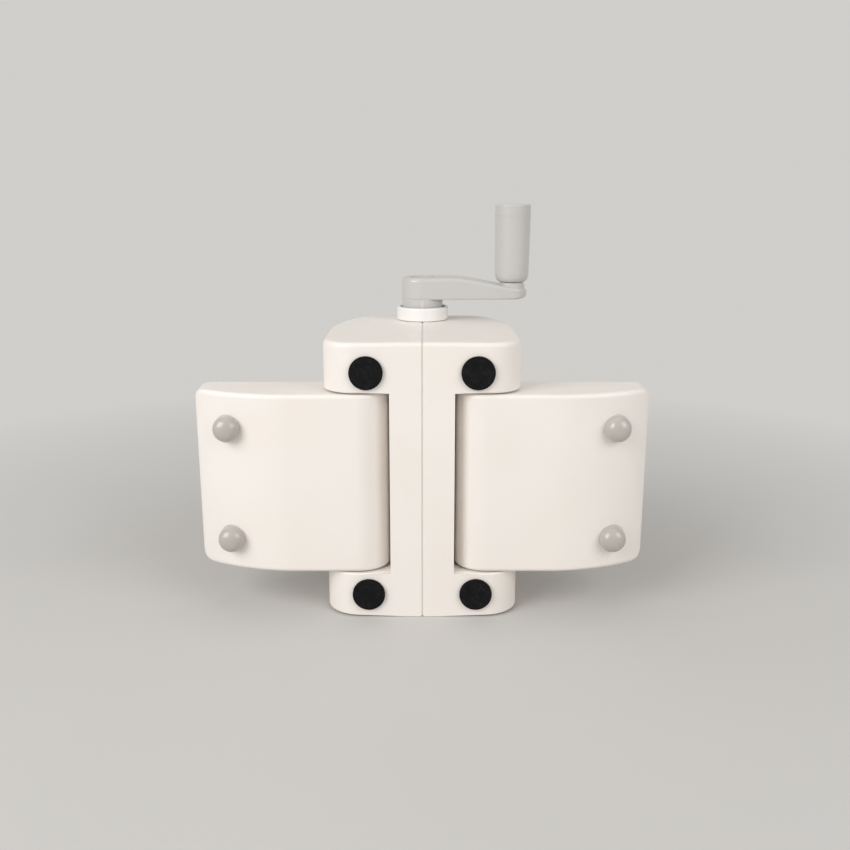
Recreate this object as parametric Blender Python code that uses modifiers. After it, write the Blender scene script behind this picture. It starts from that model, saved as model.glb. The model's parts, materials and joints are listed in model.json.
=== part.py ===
"""Hand cranked die cutting machine with two folding side tables.

The machine stands on its far end, with its crank on top and both tables unfolded.
Frame: +X to the right table, +Y from the underside to the machine's top, +Z along the
crank axis. The origin is on the floor, in the middle of the outer box's footprint.
A height is counted from the underside of the body along +Y.
"""

import math

import bmesh
import bpy
from mathutils import Matrix

MM = 0.001

# Clearances that all pieces share
FIT_GAP = 0.3 * MM          # between pieces that touch or turn on each other
OVERRUN = 1.0 * MM          # how far a cutter runs past what it cuts
BURIED = 0.5 * MM           # how deep a joined shape starts inside its neighbour
WELD_DISTANCE = 0.001 * MM

# Housing shell
SHELL_WALL = 2.4 * MM
SEAM_GAP = 0.8 * MM
SEAM_CHAMFER = 0.5 * MM
CRANK_END_FILLET = 2.4 * MM
FAR_END_FILLET = 0.6 * MM
END_FLAT_HALF = 10.0 * MM   # half width of the level band on both ends
FAR_END_DRAFT = 1.7 * MM
CRANK_END_DRAFT = 0.3 * MM
SHOULDER_WIDTH = 23.8 * MM  # how far the round shoulder has come in where it meets the top
SHOULDER_POWER = 1.6        # 2 is an ellipse, less is flatter between its ends
SIDE_UPRIGHT = 57.0 * MM    # height at which the shoulder starts

# Rollers, their shafts and the gap that the plates pass through
ROLLER_RADIUS = 12.5 * MM
ROLLER_GAP = 14.0 * MM
ROLLER_CHAMFER = 0.6 * MM
ROLLER_SIDE_GAP = 3.2 * MM
TABLE_STEP = 0.7 * MM       # the tables lie this much below the lower roller's top
SHAFT_RADIUS = 5.0 * MM
SHAFT_FLAT = 4.0 * MM       # from the axis to the flat that drives a gear
SHAFT_CHAMFER = 0.5 * MM

# Gears
PRESSURE_ANGLE = math.radians(20)
ADDENDUM_SHARE = 0.8
DEDENDUM_SHARE = 1.05
BACKLASH_SHARE = 0.2
PINION_TEETH = 12
DRIVE_TEETH = 36
DRIVE_MODULE = 1.25 * MM
DRIVE_GEAR_WIDTH = 7.0 * MM
SYNC_TEETH = 26
SYNC_GEAR_WIDTH = 8.0 * MM
GEAR_STANDOFF = 5.3 * MM    # from a frame to the toothed part of a gear
GEAR_HUB_RADIUS = 8.2 * MM
PINION_HUB_RADIUS = 6.4 * MM
SYNC_FLOOR_GAP = 1.9 * MM

# Frames, bushes and tie rods
FRAME_THICK = 2.0 * MM
FRAME_HALF_WIDTH = 30.0 * MM
FRAME_EDGE_GAP = 3.0 * MM
FRAME_FOOT_HEIGHT = 9.5 * MM
EAR_HALF_WIDTH = 6.0 * MM
BUSH_WALL = 2.0 * MM
BUSH_FLANGE = 2.0 * MM
BUSH_FLANGE_THICK = 1.5 * MM
BUSH_TAIL = 0.5 * MM
TIE_RADIUS = 3.0 * MM
TIE_SIDE_GAP = 1.2 * MM
TIE_FLOOR_GAP = 2.6 * MM
TIE_ROOF_GAP = 4.6 * MM
RIVET_RADIUS = 2.0 * MM
RIVET_HEAD_RADIUS = 3.4 * MM
RIVET_TOP_RADIUS = 2.4 * MM
RIVET_HEAD_THICK = 1.4 * MM

# Retaining clips
CLIP_THICK = 0.8 * MM
CLIP_GROOVE = 0.9 * MM
CLIP_RIM = 2.2 * MM
CLIP_MOUTH_ANGLE = math.radians(50)
SHAFT_TAIL = 2.0 * MM       # of a shaft past the last piece on it, clip and all

# Lobes: what the ends of the housing hold decides how long they are
FAR_END_ROOM = 4.6 * MM
CRANK_END_ROOM = 6.8 * MM
NOTCH_LENGTH = 105.4 * MM

# Wings
FOLD_GAP = 0.5 * MM         # between a folded table and the waist
WING_END_GAP = 0.8 * MM
WING_WALL = 2.4 * MM
WING_TOP_STEP = 1.0 * MM    # from a folded wing's outer end to the top of the body
WING_EDGE_FILLET = 2.2 * MM
WING_CORNER = 5.2 * MM
WING_LOWER_FILLET = 7.0 * MM
WING_UPPER_FILLET = 0.8 * MM
BARREL_WALL = 2.8 * MM
TABLE_THICK = 2.2 * MM
TABLE_RIM = 1.4 * MM
TABLE_LEDGE = 1.2 * MM
TABLE_START = 3.0 * MM
TABLE_CORNER = 3.0 * MM
HINGE_ROD_RADIUS = 2.5 * MM
HINGE_BOSS_WALL = 1.8 * MM
HINGE_BOSS_LENGTH = 10.0 * MM
HINGE_ROD_TAIL = 2.4 * MM

# Feet of the wings and pads of the body
FOOT_RADIUS = 7.5 * MM
FOOT_DOME = 6.6 * MM
FOOT_TIP_RADIUS = 1.6 * MM
FOOT_REACH = 14.0 * MM
FOOT_STEM_RADIUS = 2.2 * MM
FOOT_STEM_LENGTH = 4.0 * MM
FOOT_END_INSET = 20.6 * MM
FOOT_FAR_INSET = 18.6 * MM
FOOT_CRANK_INSET = 20.1 * MM
PAD_RADIUS = 9.35 * MM
PAD_THICK = 2.0 * MM
PAD_CHAMFER = 0.4 * MM
PAD_FROM_HINGE = 6.3 * MM
PAD_FAR_SHIFT = 0.9 * MM
PAD_CRANK_SHIFT = 2.5 * MM

# Screws
SCREW_RADIUS = 1.5 * MM
SCREW_HEAD_RADIUS = 2.8 * MM
SCREW_HEAD_THICK = 1.0 * MM
SCREW_LENGTH = 7.0 * MM
HEAD_RECESS = 1.4 * MM

# Crank
CRANK_HEADROOM = 18.0 * MM
CRANK_SHAFT_RADIUS = 5.0 * MM
CRANK_JOURNAL_RADIUS = 4.0 * MM
CRANK_JOURNAL_FLAT = 3.2 * MM
CRANK_TAIL = 4.1 * MM
CRANK_RADIUS = 56.0 * MM
COLLAR_RADIUS = 16.1 * MM
COLLAR_CUP_RADIUS = 13.9 * MM
COLLAR_HEIGHT = 8.0 * MM
COLLAR_CUP_DEPTH = 5.9 * MM
COLLAR_SPIGOT_RADIUS = 14.2 * MM
COLLAR_CATCH = 3.4 * MM
COLLAR_CHAMFER = 0.5 * MM
NECK_RADIUS = 12.7 * MM
NECK_SHOW = 4.9 * MM
NECK_LENGTH = 8.2 * MM
HUB_RADIUS = 13.0 * MM
HUB_HEIGHT = 13.3 * MM
TIP_RADIUS = 9.5 * MM
TIP_HEIGHT = 7.3 * MM
ARM_FALL_START = 17.0 * MM
ARM_FALL_END = 63.0 * MM
ARM_EDGE = 1.8 * MM
TIP_BOSS_RADIUS = 8.3 * MM
TIP_BOSS_HEIGHT = 2.8 * MM
CAP_RADIUS = 7.3 * MM
CAP_THICK = 1.3 * MM
ARM_SCREW_RADIUS = 2.5 * MM
ARM_SCREW_HEAD_RADIUS = 6.0 * MM
ARM_SCREW_HEAD_THICK = 1.6 * MM
ARM_SCREW_LENGTH = 12.0 * MM

# Grip
GRIP_TAPER = 0.4 * MM       # how much thinner the grip is at its foot
GRIP_LENGTH = 47.3 * MM
GRIP_CAP_HEIGHT = 6.7 * MM
GRIP_CAP_WALL = 2.4 * MM
GRIP_CAP_SPIGOT = 2.2 * MM
GRIP_LIFT = 0.4 * MM
GRIP_FOOT_FILLET = 2.8 * MM
GRIP_FOOT_RISE = 6.0 * MM
GRIP_TOP_BEVEL = 0.9 * MM
GRIP_WALL = 4.1 * MM        # round the spindle's head
SPINDLE_RADIUS = 4.0 * MM
SPINDLE_THREAD_RADIUS = 3.0 * MM
SPINDLE_HEAD_RADIUS = 6.0 * MM
SPINDLE_HEAD_THICK = 2.4 * MM
SPINDLE_HEAD_ROOM = 0.5 * MM
SPINDLE_SEAT = 4.5 * MM     # thickness of the grip's floor under the spindle's head

# Plate window in the sides of the waist
WINDOW_BELOW = 2.8 * MM
WINDOW_ABOVE = 3.5 * MM
WINDOW_END_WALL = 1.2 * MM

# How finely round shapes are divided
FINE_SIDES = 30
ROUND_SIDES = 18
SMALL_SIDES = 12
TINY_SIDES = 10
ARC_STEPS = 6
FILLET_STEPS = 3
SIDE_STEPS = 9
SMOOTH_ANGLE = math.radians(32)
SHARP_ANGLE = math.radians(60)
FLAT_ANGLE = math.radians(1)
ARM_SLICE_COUNT = 8

# Heights of the axes, worked out from the floor of the housing upwards
BUSH_RADIUS = SHAFT_RADIUS + FIT_GAP + BUSH_WALL
JOURNAL_BUSH_RADIUS = CRANK_JOURNAL_RADIUS + FIT_GAP + BUSH_WALL
AXIS_DISTANCE = 2 * ROLLER_RADIUS + ROLLER_GAP
SYNC_MODULE = AXIS_DISTANCE / SYNC_TEETH
SYNC_TIP_RADIUS = AXIS_DISTANCE / 2 + ADDENDUM_SHARE * SYNC_MODULE
LOWER_HEIGHT = SHELL_WALL + SYNC_FLOOR_GAP + SYNC_TIP_RADIUS
UPPER_HEIGHT = LOWER_HEIGHT + AXIS_DISTANCE
CRANK_HEIGHT = UPPER_HEIGHT + (PINION_TEETH + DRIVE_TEETH) * DRIVE_MODULE / 2
BODY_HEIGHT = CRANK_HEIGHT + CRANK_HEADROOM

# Widths, worked out from the rollers outwards
WAIST_HALF = ROLLER_RADIUS + ROLLER_SIDE_GAP + SHELL_WALL
WING_THICK = LOWER_HEIGHT + ROLLER_RADIUS - TABLE_STEP
HINGE_RADIUS = WING_THICK / 2
HINGE_X = WAIST_HALF + FOLD_GAP + HINGE_RADIUS
BODY_HALF_WIDTH = HINGE_X + HINGE_RADIUS
WING_LENGTH = BODY_HEIGHT - WING_TOP_STEP - HINGE_RADIUS
SIDE_RUN = BODY_HEIGHT - SIDE_UPRIGHT

# Lengths, from the floor up
FAR_LOBE = (2 * SHELL_WALL + FIT_GAP + FRAME_THICK + GEAR_STANDOFF + SYNC_GEAR_WIDTH
            + SHAFT_TAIL + FAR_END_ROOM)
CRANK_LOBE = (2 * SHELL_WALL + FIT_GAP + FRAME_THICK + GEAR_STANDOFF + DRIVE_GEAR_WIDTH
              + SHAFT_TAIL + CRANK_END_ROOM)
NOTCH_LOW = FAR_LOBE
NOTCH_HIGH = NOTCH_LOW + NOTCH_LENGTH
BODY_LENGTH = NOTCH_HIGH + CRANK_LOBE
FAR_FRAME_IN = NOTCH_LOW - SHELL_WALL - FIT_GAP
FAR_FRAME_OUT = FAR_FRAME_IN - FRAME_THICK
CRANK_FRAME_IN = NOTCH_HIGH + SHELL_WALL + FIT_GAP
CRANK_FRAME_OUT = CRANK_FRAME_IN + FRAME_THICK
BUSH_STACK = 2 * FIT_GAP + BUSH_FLANGE_THICK
ROLLER_LOW = FAR_FRAME_IN + BUSH_STACK
ROLLER_HIGH = CRANK_FRAME_IN - BUSH_STACK
WING_LOW = NOTCH_LOW + WING_END_GAP
WING_HIGH = NOTCH_HIGH - WING_END_GAP

# Gears and shaft ends
SYNC_INNER = FAR_FRAME_OUT - GEAR_STANDOFF
SYNC_OUTER = SYNC_INNER - SYNC_GEAR_WIDTH
DRIVE_INNER = CRANK_FRAME_OUT + GEAR_STANDOFF
DRIVE_OUTER = DRIVE_INNER + DRIVE_GEAR_WIDTH
BUSH_END = FRAME_THICK + BUSH_TAIL
SHAFT_FAR_END = SYNC_OUTER - SHAFT_TAIL
UPPER_SHAFT_TOP = DRIVE_OUTER + SHAFT_TAIL
LOWER_SHAFT_TOP = CRANK_FRAME_IN + BUSH_END + SHAFT_TAIL
CRANK_SHAFT_FOOT = CRANK_FRAME_IN - CRANK_TAIL

# Crank stack above the end of the body
COLLAR_LOW = BODY_LENGTH + FIT_GAP
COLLAR_TOP = COLLAR_LOW + COLLAR_HEIGHT
COLLAR_FLOOR = COLLAR_TOP - COLLAR_CUP_DEPTH
COLLAR_FOOT = BODY_LENGTH - SHELL_WALL - FIT_GAP - COLLAR_CATCH
COLLAR_CATCH_RADIUS = CRANK_HEADROOM - SHELL_WALL - FIT_GAP
COLLAR_HOLE_RADIUS = COLLAR_SPIGOT_RADIUS + FIT_GAP
CRANK_BUSH_RADIUS = CRANK_SHAFT_RADIUS + FIT_GAP + BUSH_WALL
SHOULDER_Z = DRIVE_OUTER + FIT_GAP
ARM_LOW = COLLAR_TOP + NECK_SHOW
HUB_TOP = ARM_LOW + HUB_HEIGHT
TIP_TOP = ARM_LOW + TIP_HEIGHT
BOSS_TOP = TIP_TOP + TIP_BOSS_HEIGHT
NECK_LOW = ARM_LOW - NECK_LENGTH
CAP_POCKET_RADIUS = CAP_RADIUS + FIT_GAP
ARM_SEAT = HUB_TOP - CAP_THICK - ARM_SCREW_HEAD_THICK - 3 * FIT_GAP
CRANK_SHAFT_TOP = ARM_SEAT - 2 * FIT_GAP
GRIP_INSIDE_RADIUS = SPINDLE_HEAD_RADIUS + SPINDLE_HEAD_ROOM
GRIP_FOOT_RADIUS = GRIP_INSIDE_RADIUS + GRIP_WALL
GRIP_TOP_RADIUS = GRIP_FOOT_RADIUS + GRIP_TAPER
GRIP_LOW = BOSS_TOP + GRIP_LIFT
GRIP_TOP = GRIP_LOW + GRIP_LENGTH
GRIP_SPLIT = GRIP_TOP - GRIP_CAP_HEIGHT
SPINDLE_HEAD_LOW = GRIP_LOW + SPINDLE_SEAT + FIT_GAP

# The level band of the frame's origin: half way between the pads' faces and the top
MID_HEIGHT = (BODY_HEIGHT - PAD_THICK) / 2

# Colours as (red, green, blue, roughness, metallic)
IVORY = (0.88, 0.84, 0.76, 0.38, 0.0)
WHITE = (0.92, 0.90, 0.86, 0.35, 0.0)
LIGHT_GREY = (0.60, 0.59, 0.57, 0.40, 0.0)
WARM_GREY = (0.42, 0.39, 0.36, 0.30, 0.0)
BLACK = (0.02, 0.02, 0.02, 0.85, 0.0)
STEEL = (0.58, 0.58, 0.60, 0.30, 1.0)
DARK_STEEL = (0.30, 0.30, 0.32, 0.40, 1.0)
BRONZE = (0.62, 0.42, 0.20, 0.40, 1.0)
NYLON = (0.80, 0.79, 0.74, 0.55, 0.0)


def depth(height):
    """Y of a height above the underside."""
    return height - MID_HEIGHT


def clear_scene():
    """Remove whatever the scene holds."""
    for leftover in list(bpy.data.objects):
        bpy.data.objects.remove(leftover, do_unlink=True)


def make_collection(name):
    """A new collection in the scene."""
    collection = bpy.data.collections.new(name)
    bpy.context.scene.collection.children.link(collection)
    return collection


clear_scene()
PARTS = make_collection("die_cutting_machine")
CUTTERS = make_collection("cutters")


def make_axis(name, x, height):
    """An empty on the axis of a joint that runs along Z."""
    axis = bpy.data.objects.new(name, None)
    axis.location = (x, depth(height), 0)
    axis.empty_display_size = OVERRUN
    PARTS.objects.link(axis)
    return axis


def make_finish(name, colour):
    """A plain plastic, rubber or metal surface."""
    red, green, blue, roughness, metallic = colour
    material = bpy.data.materials.new(name + "_finish")
    material.use_nodes = True
    shader = material.node_tree.nodes["Principled BSDF"]
    shader.inputs["Base Color"].default_value = (red, green, blue, 1)
    shader.inputs["Roughness"].default_value = roughness
    shader.inputs["Metallic"].default_value = metallic
    material.diffuse_color = (red, green, blue, 1)
    return material


def add_piece(name, mesh, colour, axis=None):
    """Put a finished mesh in the scene as a named piece, on its joint's axis if it has one."""
    piece = bpy.data.objects.new(name, mesh)
    PARTS.objects.link(piece)
    piece.parent = axis
    mesh.name = name
    mesh.materials.clear()
    mesh.materials.append(make_finish(name, colour))
    mesh.shade_smooth()
    mesh.set_sharp_from_angle(angle=SMOOTH_ANGLE)
    return piece


def evaluated_mesh(shape):
    """The mesh of an object with its modifiers, after which the object is removed."""
    bpy.context.view_layer.update()
    graph = bpy.context.evaluated_depsgraph_get()
    mesh = bpy.data.meshes.new_from_object(shape.evaluated_get(graph))
    bpy.data.objects.remove(shape, do_unlink=True)
    return mesh


def welded(mesh, place=None, face_out=True):
    """A mesh with its double points merged, moved to its place and with its faces outwards."""
    work = bmesh.new()
    work.from_mesh(mesh)
    if place is not None:
        work.transform(place)
    bmesh.ops.remove_doubles(work, verts=work.verts, dist=WELD_DISTANCE)
    if face_out:
        bmesh.ops.recalc_face_normals(work, faces=work.faces)
    work.to_mesh(mesh)
    work.free()
    return mesh


def joined(meshes):
    """One mesh that holds several separate solids."""
    work = bmesh.new()
    for mesh in meshes:
        work.from_mesh(mesh)
    result = bpy.data.meshes.new("joined")
    work.to_mesh(result)
    work.free()
    return result


def carved(mesh, steps):
    """A mesh after its boolean steps, each an operation and the mesh it works with."""
    for operation, tool_mesh in steps:
        base = bpy.data.objects.new("carved", mesh)
        tool = bpy.data.objects.new("cutter", tool_mesh)
        CUTTERS.objects.link(base)
        CUTTERS.objects.link(tool)
        tool.display_type = "WIRE"
        tool.hide_render = True
        modifier = base.modifiers.new(operation.lower(), "BOOLEAN")
        modifier.operation = operation
        modifier.object = tool
        modifier.solver = "EXACT"
        mesh = welded(evaluated_mesh(base), face_out=False)
        bpy.data.objects.remove(tool, do_unlink=True)
    return mesh


def turned(outline, sides, closed=False):
    """A solid of revolution about Z, from (radius, z) points that run down its outer side."""
    mesh = bpy.data.meshes.new("turned")
    count = len(outline)
    edges = [(index, index + 1) for index in range(count - 1)]
    if closed:
        edges.append((count - 1, 0))
    mesh.from_pydata([(radius, 0, z) for radius, z in outline], edges, [])
    shape = bpy.data.objects.new("turned", mesh)
    CUTTERS.objects.link(shape)
    screw = shape.modifiers.new("turn", "SCREW")
    screw.angle = 2 * math.pi
    screw.steps = sides
    screw.render_steps = sides
    screw.use_merge_vertices = True
    screw.merge_threshold = WELD_DISTANCE
    return welded(evaluated_mesh(shape))


def extruded(outline, low, high):
    """A flat outline extruded from low to high along Z, each of its caps one face."""
    curve = bpy.data.curves.new("outline", "CURVE")
    curve.dimensions = "2D"
    curve.fill_mode = "BOTH"
    curve.extrude = (high - low) / 2
    spline = curve.splines.new("POLY")
    spline.points.add(len(outline) - 1)
    for point, (x, y) in zip(spline.points, outline):
        point.co = (x, y, 0, 1)
    spline.use_cyclic_u = True
    shape = bpy.data.objects.new("outline", curve)
    CUTTERS.objects.link(shape)
    mesh = welded(evaluated_mesh(shape), Matrix.Translation((0, 0, (low + high) / 2)))
    work = bmesh.new()
    work.from_mesh(mesh)
    bmesh.ops.dissolve_limit(work, angle_limit=FLAT_ANGLE, verts=work.verts, edges=work.edges)
    work.to_mesh(mesh)
    work.free()
    return mesh


def block(low, high):
    """A box between two corners."""
    work = bmesh.new()
    size = [top - bottom for bottom, top in zip(low, high)]
    centre = [(top + bottom) / 2 for bottom, top in zip(low, high)]
    place = Matrix.Translation(centre) @ Matrix.Diagonal((*size, 1))
    bmesh.ops.create_cube(work, size=1, matrix=place)
    mesh = bpy.data.meshes.new("block")
    work.to_mesh(mesh)
    work.free()
    return mesh


def rod(radius, start, end, sides):
    """A cylinder from one point to another, along X, Y or Z."""
    work = bmesh.new()
    run = [b - a for a, b in zip(start, end)]
    length = sum(abs(step) for step in run)
    middle = [(a + b) / 2 for a, b in zip(start, end)]
    if run[0]:
        turn = Matrix.Rotation(math.pi / 2, 4, "Y")
    elif run[1]:
        turn = Matrix.Rotation(math.pi / 2, 4, "X")
    else:
        turn = Matrix.Identity(4)
    bmesh.ops.create_cone(work, cap_ends=True, segments=sides, radius1=radius, radius2=radius,
                          depth=length, matrix=Matrix.Translation(middle) @ turn)
    mesh = bpy.data.meshes.new("rod")
    work.to_mesh(mesh)
    work.free()
    return mesh


def loft(sections, cap_faces):
    """A solid through matching closed sections; cap_faces are the index loops that close an end."""
    work = bmesh.new()
    rings = [[work.verts.new(point) for point in section] for section in sections]
    count = len(rings[0])
    for lower, upper in zip(rings, rings[1:]):
        for index in range(count):
            after = (index + 1) % count
            work.faces.new((lower[index], lower[after], upper[after], upper[index]))
    for ring in (rings[0], rings[-1]):
        for cap in cap_faces:
            work.faces.new([ring[index] for index in cap])
    bmesh.ops.recalc_face_normals(work, faces=work.faces)
    mesh = bpy.data.meshes.new("loft")
    work.to_mesh(mesh)
    work.free()
    return mesh


def flatted_circle(radius, flat, sides):
    """Points of a circle with one flat, which faces +X."""
    half = math.acos(flat / radius)
    step = (2 * math.pi - 2 * half) / (sides - 1)
    turns = [half + step * index for index in range(sides)]
    return [(radius * math.cos(turn), radius * math.sin(turn)) for turn in turns]


def arc(x, y, radius, start, end, steps):
    """Points of an arc about a centre, both ends included."""
    turns = [start + (end - start) * index / steps for index in range(steps + 1)]
    return [(x + radius * math.cos(turn), y + radius * math.sin(turn)) for turn in turns]


def lean(height):
    """How far the shoulder has come in at a height."""
    share = max((height - SIDE_UPRIGHT) / SIDE_RUN, 0)
    return SHOULDER_WIDTH * (1 - (1 - share ** SHOULDER_POWER) ** (1 / SHOULDER_POWER))


def lean_slope(height):
    """How fast the shoulder comes in at a height."""
    share = max((height - SIDE_UPRIGHT) / SIDE_RUN, 0)
    bend = (1 - share ** SHOULDER_POWER) ** (1 / SHOULDER_POWER - 1)
    return SHOULDER_WIDTH / SIDE_RUN * bend * share ** (SHOULDER_POWER - 1)


def spaced_heights(end):
    """Heights along the shoulder, from where it starts up to an end."""
    return [SIDE_UPRIGHT + (end - SIDE_UPRIGHT) * step / SIDE_STEPS
            for step in range(SIDE_STEPS + 1)]


def body_outline(inset, seam_x):
    """(x, height) points of the right half of the body's cross section, inset all round."""
    roof = BODY_HEIGHT - inset
    points = [(seam_x, inset), (END_FLAT_HALF, inset)]
    points += arc(HINGE_X, HINGE_RADIUS, HINGE_RADIUS - inset, -math.pi / 2, 0, ARC_STEPS)
    foot_x = BODY_HALF_WIDTH - SHOULDER_WIDTH
    for step in range(SIDE_STEPS + 1):
        turn = math.pi / 2 * step / SIDE_STEPS
        across_share = max(math.cos(turn), 0) ** (2 / SHOULDER_POWER)
        up_share = math.sin(turn) ** (2 / SHOULDER_POWER)
        points.append((foot_x + (SHOULDER_WIDTH - inset) * across_share,
                       SIDE_UPRIGHT + (SIDE_RUN - inset) * up_share))
    points += [(END_FLAT_HALF, roof), (seam_x, roof)]
    return points


def body_caps(count):
    """Index loops that close an end of the body: the level band, then the drafted rest."""
    return [[0, 1, count - 2, count - 1], list(range(1, count - 1))]


def draft(x, amount):
    """How far an end of the body is drawn in at a place across it."""
    return amount * max(x - END_FLAT_HALF, 0) / (BODY_HALF_WIDTH - END_FLAT_HALF)


def end_levels(inset, fillet):
    """Inset and rise of each section of an end's round edge, from the end's face inwards."""
    if not fillet:
        return [(inset, inset)]
    turns = [math.pi / 2 * step / FILLET_STEPS for step in range(FILLET_STEPS + 1)]
    return [(inset + fillet * (1 - math.sin(turn)), inset + fillet * (1 - math.cos(turn)))
            for turn in turns]


def half_body(side, inset, seam_x, far_fillet, crank_fillet):
    """Right (side 1) or left (side -1) half of the body as a block, inset all round."""
    sections = []
    for section_inset, rise in end_levels(inset, far_fillet):
        outline = body_outline(section_inset, seam_x)
        sections.append([(side * x, depth(height), rise + draft(x, FAR_END_DRAFT))
                         for x, height in outline])
    for section_inset, rise in reversed(end_levels(inset, crank_fillet)):
        outline = body_outline(section_inset, seam_x)
        sections.append([(side * x, depth(height), BODY_LENGTH - rise - draft(x, CRANK_END_DRAFT))
                         for x, height in outline])
    return loft(sections, body_caps(len(sections[0])))


def chamfer_seam(mesh, seam_x):
    """Break the outer edge of a housing half where it meets the other half."""
    work = bmesh.new()
    work.from_mesh(mesh)
    rim = [edge for edge in work.edges
           if all(abs(abs(vert.co.x) - seam_x) < WELD_DISTANCE for vert in edge.verts)
           and len(edge.link_faces) == 2
           and edge.calc_face_angle() > SMOOTH_ANGLE]
    bmesh.ops.bevel(work, geom=rim, offset=SEAM_CHAMFER, segments=1, affect="EDGES")
    bmesh.ops.recalc_face_normals(work, faces=work.faces)
    work.to_mesh(mesh)
    work.free()
    return mesh


def across(side, near, far):
    """The low and high X of a span that lies on one side of the machine."""
    return sorted((side * near, side * far))


def pad_places():
    """Name, side and Z of each pad under the body."""
    far_z = NOTCH_LOW / 2 + PAD_FAR_SHIFT
    crank_z = NOTCH_HIGH + CRANK_LOBE / 2 - PAD_CRANK_SHIFT
    return [("far_left", -1, far_z), ("far_right", 1, far_z),
            ("crank_left", -1, crank_z), ("crank_right", 1, crank_z)]


PAD_X = HINGE_X - PAD_FROM_HINGE


def make_housing(side, name):
    """One half of the shell, from the seam to the side."""
    seam_x = SEAM_GAP / 2
    body = chamfer_seam(half_body(side, 0, seam_x, FAR_END_FILLET, CRANK_END_FILLET), seam_x)
    reach = BODY_HALF_WIDTH + OVERRUN
    notch_x = across(side, WAIST_HALF, reach)
    notch = block((notch_x[0], depth(-OVERRUN), NOTCH_LOW),
                  (notch_x[1], depth(BODY_HEIGHT + OVERRUN), NOTCH_HIGH))
    inner_x = across(side, WAIST_HALF - SHELL_WALL, reach)
    kept = block((inner_x[0], depth(-OVERRUN), NOTCH_LOW - SHELL_WALL),
                 (inner_x[1], depth(BODY_HEIGHT + OVERRUN), NOTCH_HIGH + SHELL_WALL))
    hollow = carved(half_body(side, SHELL_WALL, -OVERRUN, 0, 0), [("DIFFERENCE", kept)])
    hinge_x = side * HINGE_X
    hinge_y = depth(HINGE_RADIUS)
    boss_radius = HINGE_ROD_RADIUS + FIT_GAP + HINGE_BOSS_WALL
    far_wall = NOTCH_LOW - SHELL_WALL
    crank_wall = NOTCH_HIGH + SHELL_WALL
    bosses = joined([
        rod(boss_radius, (hinge_x, hinge_y, far_wall - HINGE_BOSS_LENGTH),
            (hinge_x, hinge_y, far_wall + BURIED), SMALL_SIDES),
        rod(boss_radius, (hinge_x, hinge_y, crank_wall - BURIED),
            (hinge_x, hinge_y, crank_wall + HINGE_BOSS_LENGTH), SMALL_SIDES),
    ])
    holes = [rod(HINGE_ROD_RADIUS + FIT_GAP, (hinge_x, hinge_y, far_wall - HINGE_BOSS_LENGTH - OVERRUN),
                 (hinge_x, hinge_y, crank_wall + HINGE_BOSS_LENGTH + OVERRUN), SMALL_SIDES)]
    for _, pad_side, z in pad_places():
        if pad_side == side:
            x = side * PAD_X
            holes.append(turned([(0, SHELL_WALL + OVERRUN), (SCREW_RADIUS + FIT_GAP, SHELL_WALL + OVERRUN),
                                 (SCREW_RADIUS + FIT_GAP, HEAD_RECESS),
                                 (SCREW_HEAD_RADIUS + FIT_GAP, HEAD_RECESS),
                                 (SCREW_HEAD_RADIUS + FIT_GAP, -OVERRUN), (0, -OVERRUN)], TINY_SIDES))
            holes[-1].transform(Matrix.Translation((x, depth(0), z))
                                @ Matrix.Rotation(-math.pi / 2, 4, "X"))
    window_x = across(side, WAIST_HALF - SHELL_WALL - OVERRUN, WAIST_HALF + OVERRUN)
    holes.append(block((window_x[0], depth(WING_THICK - WINDOW_BELOW), ROLLER_LOW + WINDOW_END_WALL),
                       (window_x[1], depth(WING_THICK + TABLE_STEP + ROLLER_GAP + WINDOW_ABOVE),
                        ROLLER_HIGH - WINDOW_END_WALL)))
    collar_hole = rod(COLLAR_HOLE_RADIUS, (0, depth(CRANK_HEIGHT), BODY_LENGTH - SHELL_WALL - OVERRUN),
                      (0, depth(CRANK_HEIGHT), BODY_LENGTH + OVERRUN), FINE_SIDES)
    mesh = carved(body, [("DIFFERENCE", notch), ("DIFFERENCE", hollow), ("UNION", bosses),
                         ("DIFFERENCE", joined(holes)), ("DIFFERENCE", collar_hole)])
    return add_piece(name, mesh, IVORY)


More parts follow.
